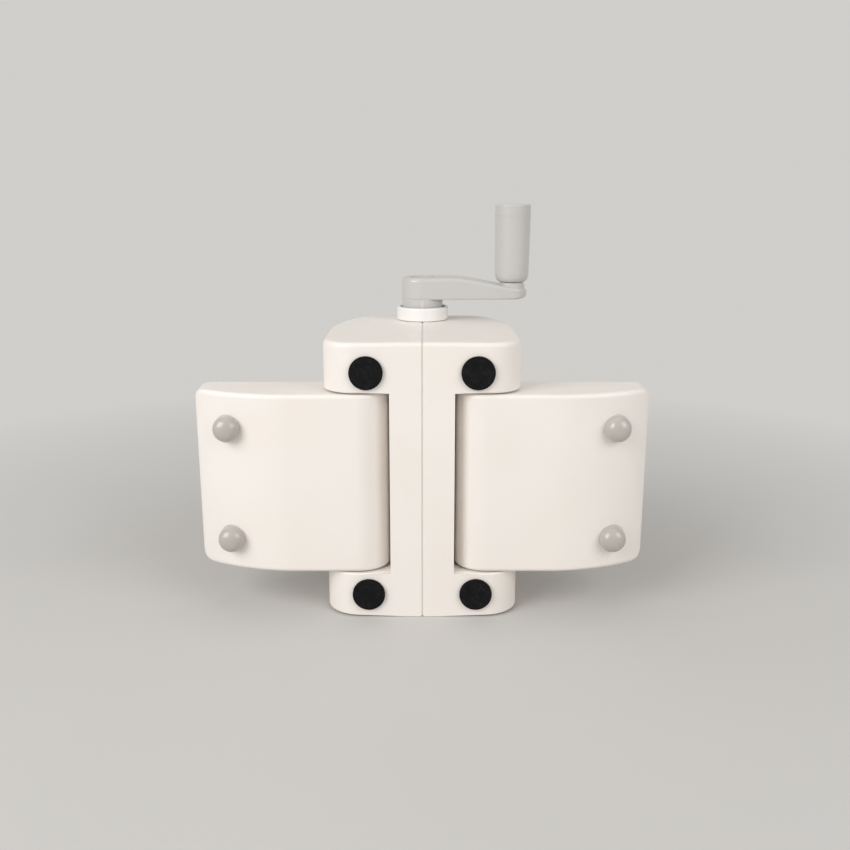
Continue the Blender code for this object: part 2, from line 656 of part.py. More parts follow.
def make_frame(name, inner, outward, crank_hole):
    """A bent steel plate that carries the rollers at one end, with ears for the housing screws."""
    low, high = sorted((inner, inner + outward * FRAME_THICK))
    foot = SHELL_WALL + FIT_GAP
    top = BODY_HEIGHT - SHELL_WALL - FRAME_EDGE_GAP
    ear_out = PAD_X + EAR_HALF_WIDTH
    step = foot + FRAME_FOOT_HEIGHT
    ear_in = PAD_X - EAR_HALF_WIDTH
    belly = foot + FRAME_THICK
    sill = foot + FRAME_THICK / 2
    shoulder = ear_out + BURIED
    half = [(shoulder, sill), (shoulder, step), (FRAME_HALF_WIDTH, step), (FRAME_HALF_WIDTH, top)]
    outline = half + [(-x, height) for x, height in reversed(half)]
    plate = extruded([(x, depth(height)) for x, height in outline], low, high)
    round_holes = [(BUSH_RADIUS, 0, LOWER_HEIGHT, ROUND_SIDES), (BUSH_RADIUS, 0, UPPER_HEIGHT, ROUND_SIDES)]
    round_holes += [(RIVET_RADIUS, x, height, TINY_SIDES) for x, height in tie_places()]
    if crank_hole:
        round_holes.append((JOURNAL_BUSH_RADIUS, 0, CRANK_HEIGHT, ROUND_SIDES))
    holes = [rod(radius + FIT_GAP, (x, depth(height), low - OVERRUN), (x, depth(height), high + OVERRUN),
                 sides) for radius, x, height, sides in round_holes]
    steps = []
    for _, side, z in pad_places():
        if (z > inner) == (outward > 0):
            tip = z + outward * EAR_HALF_WIDTH
            ear_low, ear_high = sorted((inner + outward * FRAME_THICK / 2, tip))
            ear_x = across(side, ear_in, ear_out)
            steps.append(("UNION", block((ear_x[0], depth(foot), ear_low),
                                         (ear_x[1], depth(belly), ear_high))))
            holes.append(rod(SCREW_RADIUS + FIT_GAP, (side * PAD_X, depth(foot - OVERRUN), z),
                             (side * PAD_X, depth(belly + OVERRUN), z), TINY_SIDES))
    steps.append(("DIFFERENCE", joined(holes)))
    return add_piece(name, carved(plate, steps), DARK_STEEL)


def tie_places():
    """(x, height) of the four tie rods."""
    x = WAIST_HALF - SHELL_WALL - TIE_SIDE_GAP - TIE_RADIUS
    low = SHELL_WALL + TIE_FLOOR_GAP + TIE_RADIUS
    high = BODY_HEIGHT - SHELL_WALL - TIE_ROOF_GAP - TIE_RADIUS
    return [(-x, low), (x, low), (-x, high), (x, high)]


def make_tie_rods():
    """Spacer rods whose riveted ends hold the frames apart and together."""
    low = FAR_FRAME_IN + FIT_GAP
    high = CRANK_FRAME_IN - FIT_GAP
    out = FRAME_THICK + 2 * FIT_GAP
    names = ("low_left_tie_rod", "low_right_tie_rod", "high_left_tie_rod", "high_right_tie_rod")
    for name, (x, height) in zip(names, tie_places()):
        upper = [(0, high + out + RIVET_HEAD_THICK), (RIVET_TOP_RADIUS, high + out + RIVET_HEAD_THICK),
                 (RIVET_HEAD_RADIUS, high + out), (RIVET_RADIUS, high + out), (RIVET_RADIUS, high),
                 (TIE_RADIUS, high)]
        mesh = turned(upper + [(radius, low + high - z) for radius, z in reversed(upper)], TINY_SIDES)
        mesh.transform(Matrix.Translation((x, depth(height), 0)))
        add_piece(name, mesh, STEEL)


def make_screws():
    """The screws under the pads, which hold the housing halves to the frames."""
    seat = depth(HEAD_RECESS - FIT_GAP)
    for place, side, z in pad_places():
        mesh = turned([(0, SCREW_HEAD_THICK), (SCREW_HEAD_RADIUS, SCREW_HEAD_THICK),
                       (SCREW_HEAD_RADIUS, 0), (SCREW_RADIUS, 0), (SCREW_RADIUS, -SCREW_LENGTH),
                       (0, -SCREW_LENGTH)], TINY_SIDES)
        mesh.transform(Matrix.Translation((side * PAD_X, seat, z)) @ Matrix.Rotation(math.pi / 2, 4, "X"))
        add_piece(place + "_screw", mesh, STEEL)


def bush(bore, colour, name, x, height, inner, outward):
    """A flanged bush in a frame, its flange on the rollers' side."""
    sleeve = bore + BUSH_WALL
    flange = sleeve + BUSH_FLANGE
    outline = [(bore, BUSH_END), (sleeve, BUSH_END), (sleeve, -FIT_GAP), (flange, -FIT_GAP),
               (flange, -FIT_GAP - BUSH_FLANGE_THICK), (bore, -FIT_GAP - BUSH_FLANGE_THICK)]
    mesh = turned(outline, ROUND_SIDES, closed=True)
    flip = Matrix.Rotation(0 if outward > 0 else math.pi, 4, "X")
    mesh.transform(Matrix.Translation((x, depth(height), inner)) @ flip)
    add_piece(name, mesh, colour)


def clip(radius, low):
    """An open retaining ring in a shaft's groove."""
    inner = radius - CLIP_GROOVE + FIT_GAP
    outer = radius + CLIP_RIM
    half = CLIP_MOUTH_ANGLE / 2
    points = arc(0, 0, outer, half, 2 * math.pi - half, SMALL_SIDES)
    points += arc(0, 0, inner, 2 * math.pi - half, half, SMALL_SIDES)
    return extruded(points, low, low + CLIP_THICK)


def grooved(radius, high, low, grooves):
    """Outline of a shaft from its top to its foot, with a groove for each clip that starts at a z."""
    floor = radius - CLIP_GROOVE
    points = [(0, high), (radius - SHAFT_CHAMFER, high), (radius, high - SHAFT_CHAMFER)]
    for groove in sorted(grooves, reverse=True):
        top = groove + CLIP_THICK + FIT_GAP
        bottom = groove - FIT_GAP
        points += [(radius, top), (floor, top), (floor, bottom), (radius, bottom)]
    points += [(radius, low + SHAFT_CHAMFER), (radius - SHAFT_CHAMFER, low), (0, low)]
    return points


def flat_cut(radius, flat, low, high):
    """The block that cuts a shaft's flat."""
    return block((flat, -radius - OVERRUN, low), (radius + OVERRUN, radius + OVERRUN, high))


def gear_outline(teeth, module, first_tooth):
    """Points of a spur gear with teeth of involute shape; first_tooth is one tooth's angle."""
    pitch = teeth * module / 2
    base = pitch * math.cos(PRESSURE_ANGLE)
    tip = pitch + ADDENDUM_SHARE * module
    root = pitch - DEDENDUM_SHARE * module
    half_tooth = math.pi / (2 * teeth) - BACKLASH_SHARE * module / (2 * pitch)
    flank = math.tan(PRESSURE_ANGLE) - PRESSURE_ANGLE
    points = []
    for index in range(teeth):
        centre = first_tooth + 2 * math.pi * index / teeth
        for radius, hand in ((root, -1), (tip, -1), (tip, 1), (root, 1)):
            roll = math.acos(min(base / max(radius, base), 1))
            half = half_tooth + flank - (math.tan(roll) - roll)
            turn = centre + hand * half
            points.append((radius * math.cos(turn), radius * math.sin(turn)))
    return points


def gear(outline, hub_radius, tooth_low, tooth_high, hub_end, bore):
    """A toothed disc with a hub on one side and a bore with a flat."""
    toothed = extruded(outline, tooth_low, tooth_high)
    middle = (tooth_low + tooth_high) / 2
    hub = rod(hub_radius, (0, 0, min(middle, hub_end)), (0, 0, max(middle, hub_end)), ROUND_SIDES)
    low = min(tooth_low, hub_end) - OVERRUN
    high = max(tooth_high, hub_end) + OVERRUN
    return carved(toothed, [("UNION", hub), ("DIFFERENCE", extruded(bore, low, high))])


def make_roller(name, axis):
    """A steel roller as a tube round its shaft."""
    bore = SHAFT_RADIUS + FIT_GAP
    mesh = turned([(bore, ROLLER_HIGH), (ROLLER_RADIUS - ROLLER_CHAMFER, ROLLER_HIGH),
                   (ROLLER_RADIUS, ROLLER_HIGH - ROLLER_CHAMFER),
                   (ROLLER_RADIUS, ROLLER_LOW + ROLLER_CHAMFER),
                   (ROLLER_RADIUS - ROLLER_CHAMFER, ROLLER_LOW), (bore, ROLLER_LOW)],
                  FINE_SIDES, closed=True)
    add_piece(name, mesh, STEEL, axis)


def make_roller_shaft(name, axis, top, grooves, flats):
    """The shaft of a roller, with grooves for its clips and flats for its gears."""
    mesh = turned(grooved(SHAFT_RADIUS, top, SHAFT_FAR_END, grooves), ROUND_SIDES)
    cuts = [flat_cut(SHAFT_RADIUS, SHAFT_FLAT, low, high) for low, high in flats]
    add_piece(name, carved(mesh, [("DIFFERENCE", joined(cuts))]), STEEL, axis)


def make_rollers():
    """Both rollers with shafts, gears and clips."""
    upper_axis = make_axis("upper_roller_axis", 0, UPPER_HEIGHT)
    lower_axis = make_axis("lower_roller_axis", 0, LOWER_HEIGHT)
    bore = flatted_circle(SHAFT_RADIUS + FIT_GAP, SHAFT_FLAT + FIT_GAP, ROUND_SIDES)
    far_clip = SYNC_OUTER - FIT_GAP - CLIP_THICK
    far_hub = FAR_FRAME_IN - BUSH_END - FIT_GAP
    crank_hub = CRANK_FRAME_IN + BUSH_END + FIT_GAP
    upper_clip = DRIVE_OUTER + FIT_GAP
    lower_clip = crank_hub
    make_roller("upper_roller", upper_axis)
    make_roller("lower_roller", lower_axis)
    far_flat = (SHAFT_FAR_END - OVERRUN, far_hub + FIT_GAP)
    make_roller_shaft("upper_roller_shaft", upper_axis, UPPER_SHAFT_TOP, [far_clip, upper_clip],
                      [far_flat, (crank_hub - FIT_GAP, UPPER_SHAFT_TOP + OVERRUN)])
    make_roller_shaft("lower_roller_shaft", lower_axis, LOWER_SHAFT_TOP, [far_clip, lower_clip],
                      [far_flat])
    drive_teeth = gear_outline(DRIVE_TEETH, DRIVE_MODULE, math.pi / 2 + math.pi / DRIVE_TEETH)
    add_piece("upper_drive_gear", gear(drive_teeth, GEAR_HUB_RADIUS, DRIVE_INNER, DRIVE_OUTER,
                                       crank_hub, bore), NYLON, upper_axis)
    upper_teeth = gear_outline(SYNC_TEETH, SYNC_MODULE, -math.pi / 2)
    add_piece("upper_sync_gear", gear(upper_teeth, GEAR_HUB_RADIUS, SYNC_OUTER, SYNC_INNER,
                                      far_hub, bore), NYLON, upper_axis)
    lower_teeth = gear_outline(SYNC_TEETH, SYNC_MODULE, math.pi / 2 + math.pi / SYNC_TEETH)
    add_piece("lower_sync_gear", gear(lower_teeth, GEAR_HUB_RADIUS, SYNC_OUTER, SYNC_INNER,
                                      far_hub, bore), NYLON, lower_axis)
    for name, axis, z in (("upper_far_clip", upper_axis, far_clip),
                          ("upper_crank_clip", upper_axis, upper_clip),
                          ("lower_far_clip", lower_axis, far_clip),
                          ("lower_crank_clip", lower_axis, lower_clip)):
        add_piece(name, clip(SHAFT_RADIUS, z), DARK_STEEL, axis)


def make_collar():
    """The white ring on the end of the body, trapped by both halves, and the bush inside it."""
    bore = CRANK_BUSH_RADIUS + FIT_GAP
    outline = [(COLLAR_CUP_RADIUS, COLLAR_TOP), (COLLAR_RADIUS - COLLAR_CHAMFER, COLLAR_TOP),
               (COLLAR_RADIUS, COLLAR_TOP - COLLAR_CHAMFER), (COLLAR_RADIUS, COLLAR_LOW),
               (COLLAR_SPIGOT_RADIUS, COLLAR_LOW), (COLLAR_SPIGOT_RADIUS, COLLAR_FOOT + COLLAR_CATCH),
               (COLLAR_CATCH_RADIUS, COLLAR_FOOT + COLLAR_CATCH), (COLLAR_CATCH_RADIUS, COLLAR_FOOT),
               (bore, COLLAR_FOOT), (bore, COLLAR_FLOOR), (COLLAR_CUP_RADIUS, COLLAR_FLOOR)]
    mesh = turned(outline, FINE_SIDES, closed=True)
    mesh.transform(Matrix.Translation((0, depth(CRANK_HEIGHT), 0)))
    add_piece("crank_collar", mesh, WHITE)
    inside = CRANK_SHAFT_RADIUS + FIT_GAP
    seat = COLLAR_FLOOR + FIT_GAP
    top = seat + BUSH_FLANGE_THICK
    sleeve = turned([(inside, top), (CRANK_BUSH_RADIUS + BUSH_FLANGE, top),
                     (CRANK_BUSH_RADIUS + BUSH_FLANGE, seat), (CRANK_BUSH_RADIUS, seat),
                     (CRANK_BUSH_RADIUS, COLLAR_FOOT), (inside, COLLAR_FOOT)], ROUND_SIDES, closed=True)
    sleeve.transform(Matrix.Translation((0, depth(CRANK_HEIGHT), 0)))
    add_piece("crank_bush", sleeve, BRONZE)


def arm_top(x):
    """Z of the arm's top face at a distance from the crank's axis: a smooth fall to the tip."""
    share = min(max((x - ARM_FALL_START) / (ARM_FALL_END - ARM_FALL_START), 0), 1)
    return HUB_TOP + (TIP_TOP - HUB_TOP) * share * share * (3 - 2 * share)


def arm_outline():
    """Plan of the arm: a large round end, a small round end and straight sides."""
    points = arc(0, 0, HUB_RADIUS, math.pi / 2, 3 * math.pi / 2, FINE_SIDES // 2)
    points += arc(CRANK_RADIUS, 0, TIP_RADIUS, -math.pi / 2, math.pi / 2, SMALL_SIDES)
    return points


def make_arm(axis):
    """The crank arm with its neck, hub, thin end and the boss that the grip stands on."""
    mesh = extruded(arm_outline(), ARM_LOW, HUB_TOP)
    work = bmesh.new()
    work.from_mesh(mesh)
    for index in range(ARM_SLICE_COUNT + 1):
        x = ARM_FALL_START + (ARM_FALL_END - ARM_FALL_START) * index / ARM_SLICE_COUNT
        everything = work.verts[:] + work.edges[:] + work.faces[:]
        bmesh.ops.bisect_plane(work, geom=everything, plane_co=(x, 0, 0), plane_no=(1, 0, 0),
                               dist=WELD_DISTANCE)
    for vert in work.verts:
        if vert.co.z > HUB_TOP - WELD_DISTANCE:
            vert.co.z = arm_top(vert.co.x)
    rim = [edge for edge in work.edges if edge.calc_face_angle() > SHARP_ANGLE
           and min(vert.co.z for vert in edge.verts) > TIP_TOP - WELD_DISTANCE]
    bmesh.ops.bevel(work, geom=rim, offset=ARM_EDGE, segments=2, profile=0.5, affect="EDGES")
    bmesh.ops.recalc_face_normals(work, faces=work.faces)
    work.to_mesh(mesh)
    work.free()
    neck = rod(NECK_RADIUS, (0, 0, NECK_LOW), (0, 0, ARM_LOW + BURIED), FINE_SIDES)
    boss = rod(TIP_BOSS_RADIUS, (CRANK_RADIUS, 0, TIP_TOP - BURIED),
               (CRANK_RADIUS, 0, BOSS_TOP), ROUND_SIDES)
    pocket = rod(CAP_POCKET_RADIUS, (0, 0, ARM_SEAT), (0, 0, HUB_TOP + OVERRUN), ROUND_SIDES)
    bore = extruded(flatted_circle(CRANK_SHAFT_RADIUS + FIT_GAP, SHAFT_FLAT + FIT_GAP, ROUND_SIDES),
                    NECK_LOW - OVERRUN, ARM_SEAT + OVERRUN)
    thread = rod(SPINDLE_THREAD_RADIUS + FIT_GAP, (CRANK_RADIUS, 0, ARM_LOW - OVERRUN),
                 (CRANK_RADIUS, 0, BOSS_TOP + OVERRUN), SMALL_SIDES)
    steps = [("UNION", neck), ("UNION", boss), ("DIFFERENCE", pocket), ("DIFFERENCE", bore),
             ("DIFFERENCE", thread)]
    add_piece("crank_arm", carved(mesh, steps), LIGHT_GREY, axis)


def make_crank():
    """The crank's shaft, pinion, arm, screw, cap and spindle."""
    axis = make_axis("crank_axis", 0, CRANK_HEIGHT)
    clip_low = CRANK_FRAME_IN - BUSH_STACK - CLIP_THICK
    floor = CRANK_JOURNAL_RADIUS - CLIP_GROOVE
    thread = ARM_SCREW_RADIUS + FIT_GAP
    thread_low = CRANK_SHAFT_TOP - ARM_SCREW_LENGTH
    outline = [(0, thread_low), (thread, thread_low), (thread, CRANK_SHAFT_TOP),
               (CRANK_SHAFT_RADIUS, CRANK_SHAFT_TOP), (CRANK_SHAFT_RADIUS, SHOULDER_Z),
               (CRANK_JOURNAL_RADIUS, SHOULDER_Z),
               (CRANK_JOURNAL_RADIUS, clip_low + CLIP_THICK + FIT_GAP),
               (floor, clip_low + CLIP_THICK + FIT_GAP), (floor, clip_low - FIT_GAP),
               (CRANK_JOURNAL_RADIUS, clip_low - FIT_GAP),
               (CRANK_JOURNAL_RADIUS, CRANK_SHAFT_FOOT), (0, CRANK_SHAFT_FOOT)]
    hub_end = CRANK_FRAME_IN + BUSH_END + FIT_GAP
    cuts = [flat_cut(CRANK_JOURNAL_RADIUS, CRANK_JOURNAL_FLAT, hub_end - FIT_GAP,
                     SHOULDER_Z - FIT_GAP / 2),
            flat_cut(CRANK_SHAFT_RADIUS, SHAFT_FLAT, NECK_LOW - FIT_GAP, CRANK_SHAFT_TOP + OVERRUN)]
    mesh = carved(turned(outline, ROUND_SIDES), [("DIFFERENCE", joined(cuts))])
    add_piece("crank_shaft", mesh, STEEL, axis)
    bore = flatted_circle(CRANK_JOURNAL_RADIUS + FIT_GAP, CRANK_JOURNAL_FLAT + FIT_GAP, ROUND_SIDES)
    teeth = gear_outline(PINION_TEETH, DRIVE_MODULE, -math.pi / 2)
    pinion = gear(teeth, PINION_HUB_RADIUS, DRIVE_INNER, DRIVE_OUTER, hub_end, bore)
    add_piece("drive_pinion", pinion, DARK_STEEL, axis)
    add_piece("crank_shaft_clip", clip(CRANK_JOURNAL_RADIUS, clip_low), DARK_STEEL, axis)
    make_arm(axis)
    head = ARM_SEAT + FIT_GAP
    arm_screw = turned([(0, head + ARM_SCREW_HEAD_THICK),
                        (ARM_SCREW_HEAD_RADIUS, head + ARM_SCREW_HEAD_THICK),
                        (ARM_SCREW_HEAD_RADIUS, head), (ARM_SCREW_RADIUS, head),
                        (ARM_SCREW_RADIUS, thread_low + FIT_GAP), (0, thread_low + FIT_GAP)], SMALL_SIDES)
    add_piece("crank_screw", arm_screw, STEEL, axis)
    cap_low = head + ARM_SCREW_HEAD_THICK + FIT_GAP
    cap = turned([(0, cap_low + CAP_THICK), (CAP_RADIUS - FIT_GAP, cap_low + CAP_THICK),
                  (CAP_RADIUS, cap_low + CAP_THICK - FIT_GAP), (CAP_RADIUS, cap_low),
                  (0, cap_low)], ROUND_SIDES)
    add_piece("crank_cap", cap, LIGHT_GREY, axis)
    shoulder = BOSS_TOP + FIT_GAP
    head_top = SPINDLE_HEAD_LOW + SPINDLE_HEAD_THICK
    spindle = turned([(0, head_top), (SPINDLE_HEAD_RADIUS, head_top),
                      (SPINDLE_HEAD_RADIUS, SPINDLE_HEAD_LOW), (SPINDLE_RADIUS, SPINDLE_HEAD_LOW),
                      (SPINDLE_RADIUS, shoulder), (SPINDLE_THREAD_RADIUS, shoulder),
                      (SPINDLE_THREAD_RADIUS, ARM_LOW), (0, ARM_LOW)], SMALL_SIDES)
    spindle.transform(Matrix.Translation((CRANK_RADIUS, 0, 0)))
    add_piece("grip_spindle", spindle, STEEL, axis)


def make_grip():
    """The grip, which turns on its spindle, and the cap that closes its top."""
    axis = make_axis("grip_axis", CRANK_RADIUS, CRANK_HEIGHT)
    slope = GRIP_TAPER / GRIP_LENGTH
    split_radius = GRIP_TOP_RADIUS - slope * GRIP_CAP_HEIGHT
    hole = SPINDLE_RADIUS + FIT_GAP
    inside = GRIP_INSIDE_RADIUS
    seat = GRIP_LOW + SPINDLE_SEAT
    split = GRIP_SPLIT - FIT_GAP
    foot = []
    for step in range(ARC_STEPS + 1):
        turn = math.pi / 2 * step / ARC_STEPS
        foot.append((GRIP_FOOT_RADIUS - GRIP_FOOT_FILLET * (1 - math.cos(turn)),
                     GRIP_LOW + GRIP_FOOT_RISE * (1 - math.sin(turn))))
    outline = [(inside, split), (split_radius, split)] + foot
    outline += [(hole, GRIP_LOW), (hole, seat), (inside, seat)]
    add_piece("handle_grip", turned(outline, FINE_SIDES, closed=True), LIGHT_GREY, axis)
    spigot = inside - FIT_GAP
    cap = turned([(0, GRIP_TOP), (GRIP_TOP_RADIUS - GRIP_TOP_BEVEL, GRIP_TOP),
                  (GRIP_TOP_RADIUS, GRIP_TOP - GRIP_TOP_BEVEL), (split_radius, GRIP_SPLIT),
                  (spigot, GRIP_SPLIT), (spigot, GRIP_SPLIT - GRIP_CAP_SPIGOT),
                  (spigot - GRIP_CAP_WALL, GRIP_SPLIT - GRIP_CAP_SPIGOT),
                  (spigot - GRIP_CAP_WALL, GRIP_TOP - GRIP_CAP_WALL), (0, GRIP_TOP - GRIP_CAP_WALL)],
                 FINE_SIDES)
    add_piece("grip_cap", cap, LIGHT_GREY, axis)


def wing_outline(inset, edge, end):
    """(x, height) points of a wing's cross section from its hinge axis.

    It is inset all round, and by the edge's inset more everywhere but at the table's side.
    """
    bottom = inset + edge - HINGE_RADIUS
    radius = WING_LOWER_FILLET
    reach = end - inset - edge
    meet = reach
    for _ in range(30):
        slope = lean_slope(meet + HINGE_RADIUS)
        meet = reach - radius + radius * slope / math.hypot(1, slope)
    points = []
    for step in range(2 * ARC_STEPS + 1):
        turn = math.pi * (1 / 2 + step / (2 * ARC_STEPS))
        barrel = HINGE_RADIUS - inset - edge * (1 - math.sin(turn)) / 2
        points.append((barrel * math.cos(turn), barrel * math.sin(turn)))
    for height in spaced_heights(meet + HINGE_RADIUS):
        points.append((height - HINGE_RADIUS, bottom + lean(height)))
    start = math.atan2(-1, lean_slope(meet + HINGE_RADIUS))
    centre_y = points[-1][1] - radius * math.sin(start)
    points += arc(reach - radius, centre_y, radius, start, 0, FILLET_STEPS)[1:]
    corner = WING_UPPER_FILLET
    points += arc(reach - corner, HINGE_RADIUS - inset - corner, corner, 0, math.pi / 2, FILLET_STEPS)
    return points


def wing_end(rise):
    """Where a wing ends at a distance from its side, because its outer corners are round."""
    short = max(WING_CORNER - rise, 0)
    return WING_LENGTH - (WING_CORNER - math.sqrt(WING_CORNER ** 2 - short ** 2))


def wing_block(side, inset, fillet):
    """A wing as a solid block about its hinge axis, inset all round."""
    rises = []
    for step in range(FILLET_STEPS + 1):
        angle = math.pi / 2 * step / FILLET_STEPS
        rises.append((fillet * (1 - math.sin(angle)), fillet * (1 - math.cos(angle))))
    middle = (fillet + WING_CORNER) / 2
    rises += [(0, middle), (0, WING_CORNER)]
    if not fillet:
        rises = [(0, inset), (0, max(middle, inset + BURIED)), (0, WING_CORNER + inset)]
    sections = []
    for edge, rise in rises:
        outline = wing_outline(inset, edge, wing_end(rise))
        sections.append([(side * x, y, WING_LOW + max(rise, inset)) for x, y in outline])
    for edge, rise in reversed(rises):
        outline = wing_outline(inset, edge, wing_end(rise))
        sections.append([(side * x, y, WING_HIGH - max(rise, inset)) for x, y in outline])
    return loft(sections, [list(range(len(sections[0])))])


def foot_places():
    """Name and Z of each foot of a wing."""
    return [("far", WING_LOW + FOOT_FAR_INSET), ("crank", WING_HIGH - FOOT_CRANK_INSET)]


FOOT_X = WING_LENGTH - FOOT_END_INSET
TIP_DROP = HINGE_RADIUS + PAD_THICK


def table_outline(side, gap):
    """(x, z) corners of a wing's table plate, with two round corners at the outer end."""
    start = TABLE_START - gap
    end = WING_LENGTH - TABLE_RIM + gap
    low = WING_LOW + TABLE_RIM - gap
    high = WING_HIGH - TABLE_RIM + gap
    corner = TABLE_CORNER
    points = [(start, high), (start, low)]
    points += arc(end - corner, low + corner, corner, -math.pi / 2, 0, FILLET_STEPS)
    points += arc(end - corner, high - corner, corner, 0, math.pi / 2, FILLET_STEPS)
    return [(side * x, -z) for x, z in points]


def table_plate(side, gap, low, high):
    """The table plate, or with a gap the recess that it lies in."""
    mesh = extruded(table_outline(side, gap), low, high)
    mesh.transform(Matrix.Rotation(-math.pi / 2, 4, "X"))
    return mesh


def make_wing(side, word):
    """One folding side table: shell, table plate and two feet on a hinge axis."""
    axis = make_axis(word + "_wing_axis", side * HINGE_X, HINGE_RADIUS)
    inner_low = WING_LOW + WING_WALL
    inner_high = WING_HIGH - WING_WALL
    barrel = rod(HINGE_ROD_RADIUS + FIT_GAP + BARREL_WALL, (0, 0, WING_LOW), (0, 0, WING_HIGH), SMALL_SIDES)
    cavity = carved(wing_block(side, WING_WALL, 0), [("DIFFERENCE", barrel)])
    mouth_x = across(side, TABLE_START + TABLE_LEDGE, WING_LENGTH - WING_WALL - TABLE_LEDGE)
    mouth_floor = HINGE_RADIUS - TABLE_THICK - WING_WALL
    mouth = block((mouth_x[0], mouth_floor, inner_low + TABLE_LEDGE),
                  (mouth_x[1], HINGE_RADIUS + OVERRUN, inner_high - TABLE_LEDGE))
    recess = table_plate(side, FIT_GAP, HINGE_RADIUS - TABLE_THICK - FIT_GAP, HINGE_RADIUS + OVERRUN)
    holes = [rod(HINGE_ROD_RADIUS + FIT_GAP, (0, 0, WING_LOW - OVERRUN), (0, 0, WING_HIGH + OVERRUN),
                 SMALL_SIDES)]
    for _, z in foot_places():
        holes.append(rod(FOOT_STEM_RADIUS + FIT_GAP, (side * FOOT_X, -HINGE_RADIUS, z),
                         (side * FOOT_X, HINGE_RADIUS - TABLE_THICK - OVERRUN, z), SMALL_SIDES))
    shell = carved(wing_block(side, 0, WING_EDGE_FILLET),
                   [("DIFFERENCE", cavity), ("DIFFERENCE", mouth), ("DIFFERENCE", recess),
                    ("DIFFERENCE", joined(holes))])
    add_piece(word + "_wing_shell", shell, IVORY, axis)
    table = table_plate(side, 0, HINGE_RADIUS - TABLE_THICK, HINGE_RADIUS)
    add_piece(word + "_wing_table", table, IVORY, axis)
    for place, z in foot_places():
        make_foot(side, word + "_wing_" + place + "_foot", z, axis)


def make_foot(side, name, z, axis):
    """A domed rubber foot that fits the curved underside, with a stem through the shell."""
    dome = []
    for step in range(FILLET_STEPS + 1):
        turn = math.pi / 2 * step / FILLET_STEPS
        dome.append((FOOT_TIP_RADIUS + (FOOT_RADIUS - FOOT_TIP_RADIUS) * math.cos(turn),
                     FOOT_DOME * (1 - math.sin(turn))))
    outline = [(0, FOOT_REACH), (FOOT_RADIUS, FOOT_REACH)] + dome + [(0, 0)]
    place = Matrix.Translation((side * FOOT_X, -TIP_DROP, z)) @ Matrix.Rotation(-math.pi / 2, 4, "X")
    mesh = turned(outline, ROUND_SIDES)
    mesh.transform(place)
    seat = extruded([(side * x, y) for x, y in wing_outline(-FIT_GAP, 0, WING_LENGTH)],
                    z - 2 * FOOT_RADIUS, z + 2 * FOOT_RADIUS)
    surface = lean(FOOT_X + HINGE_RADIUS) - HINGE_RADIUS
    stem = rod(FOOT_STEM_RADIUS, (side * FOOT_X, surface - FOOT_STEM_RADIUS, z),
               (side * FOOT_X, surface + WING_WALL + FOOT_STEM_LENGTH, z), SMALL_SIDES)
    mesh = carved(mesh, [("DIFFERENCE", seat), ("UNION", stem)])
    add_piece(name, mesh, WARM_GREY, axis)


def make_hinge_rod(side, word):
    """The steel rod that a wing turns on, with a clip at each end."""
    low = NOTCH_LOW - SHELL_WALL - HINGE_BOSS_LENGTH - HINGE_ROD_TAIL
    high = NOTCH_HIGH + SHELL_WALL + HINGE_BOSS_LENGTH + HINGE_ROD_TAIL
    low_clip = low + HINGE_ROD_TAIL - FIT_GAP - CLIP_THICK
    high_clip = high - HINGE_ROD_TAIL + FIT_GAP
    place = Matrix.Translation((side * HINGE_X, depth(HINGE_RADIUS), 0))
    mesh = turned(grooved(HINGE_ROD_RADIUS, high, low, [low_clip, high_clip]), SMALL_SIDES)
    mesh.transform(place)
    add_piece(word + "_hinge_rod", mesh, STEEL)
    for end, z in (("far", low_clip), ("crank", high_clip)):
        ring = clip(HINGE_ROD_RADIUS, z)
        ring.transform(place)
        add_piece(word + "_hinge_" + end + "_clip", ring, DARK_STEEL)


def make_pads():
    """Four round pads under the body."""
    for place, side, z in pad_places():
        mesh = turned([(0, -FIT_GAP), (PAD_RADIUS - PAD_CHAMFER, -FIT_GAP),
                       (PAD_RADIUS, -FIT_GAP - PAD_CHAMFER), (PAD_RADIUS, PAD_CHAMFER - PAD_THICK),
                       (PAD_RADIUS - PAD_CHAMFER, -PAD_THICK), (0, -PAD_THICK)], ROUND_SIDES)
        mesh.transform(Matrix.Translation((side * PAD_X, depth(0), z))
                       @ Matrix.Rotation(-math.pi / 2, 4, "X"))
        add_piece(place + "_pad", mesh, BLACK)


def make_bushes():
    """Bushes of both roller shafts and of the crank's journal."""
    bore = SHAFT_RADIUS + FIT_GAP
    for word, height in (("upper", UPPER_HEIGHT), ("lower", LOWER_HEIGHT)):
        bush(bore, BRONZE, word + "_far_bush", 0, height, FAR_FRAME_IN, -1)
        bush(bore, BRONZE, word + "_crank_bush", 0, height, CRANK_FRAME_IN, 1)
    bush(CRANK_JOURNAL_RADIUS + FIT_GAP, BRONZE, "journal_bush", 0, CRANK_HEIGHT, CRANK_FRAME_IN, 1)


make_housing(-1, "left_housing")
make_housing(1, "right_housing")
make_collar()
make_frame("far_end_frame", FAR_FRAME_IN, -1, crank_hole=False)
make_frame("crank_end_frame", CRANK_FRAME_IN, 1, crank_hole=True)
make_tie_rods()
make_screws()
make_bushes()
make_rollers()
make_crank()
make_grip()
make_wing(-1, "left")
make_wing(1, "right")
make_hinge_rod(-1, "left")
make_hinge_rod(1, "right")
make_pads()
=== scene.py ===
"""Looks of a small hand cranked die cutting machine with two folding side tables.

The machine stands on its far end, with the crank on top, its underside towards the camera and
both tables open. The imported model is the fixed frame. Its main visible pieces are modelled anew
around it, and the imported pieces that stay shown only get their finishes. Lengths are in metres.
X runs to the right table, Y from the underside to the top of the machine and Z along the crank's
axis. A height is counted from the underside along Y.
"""

import json
import logging
import math
from contextlib import contextmanager
from dataclasses import dataclass
from enum import Enum
from typing import Callable, Iterator, Optional, Sequence

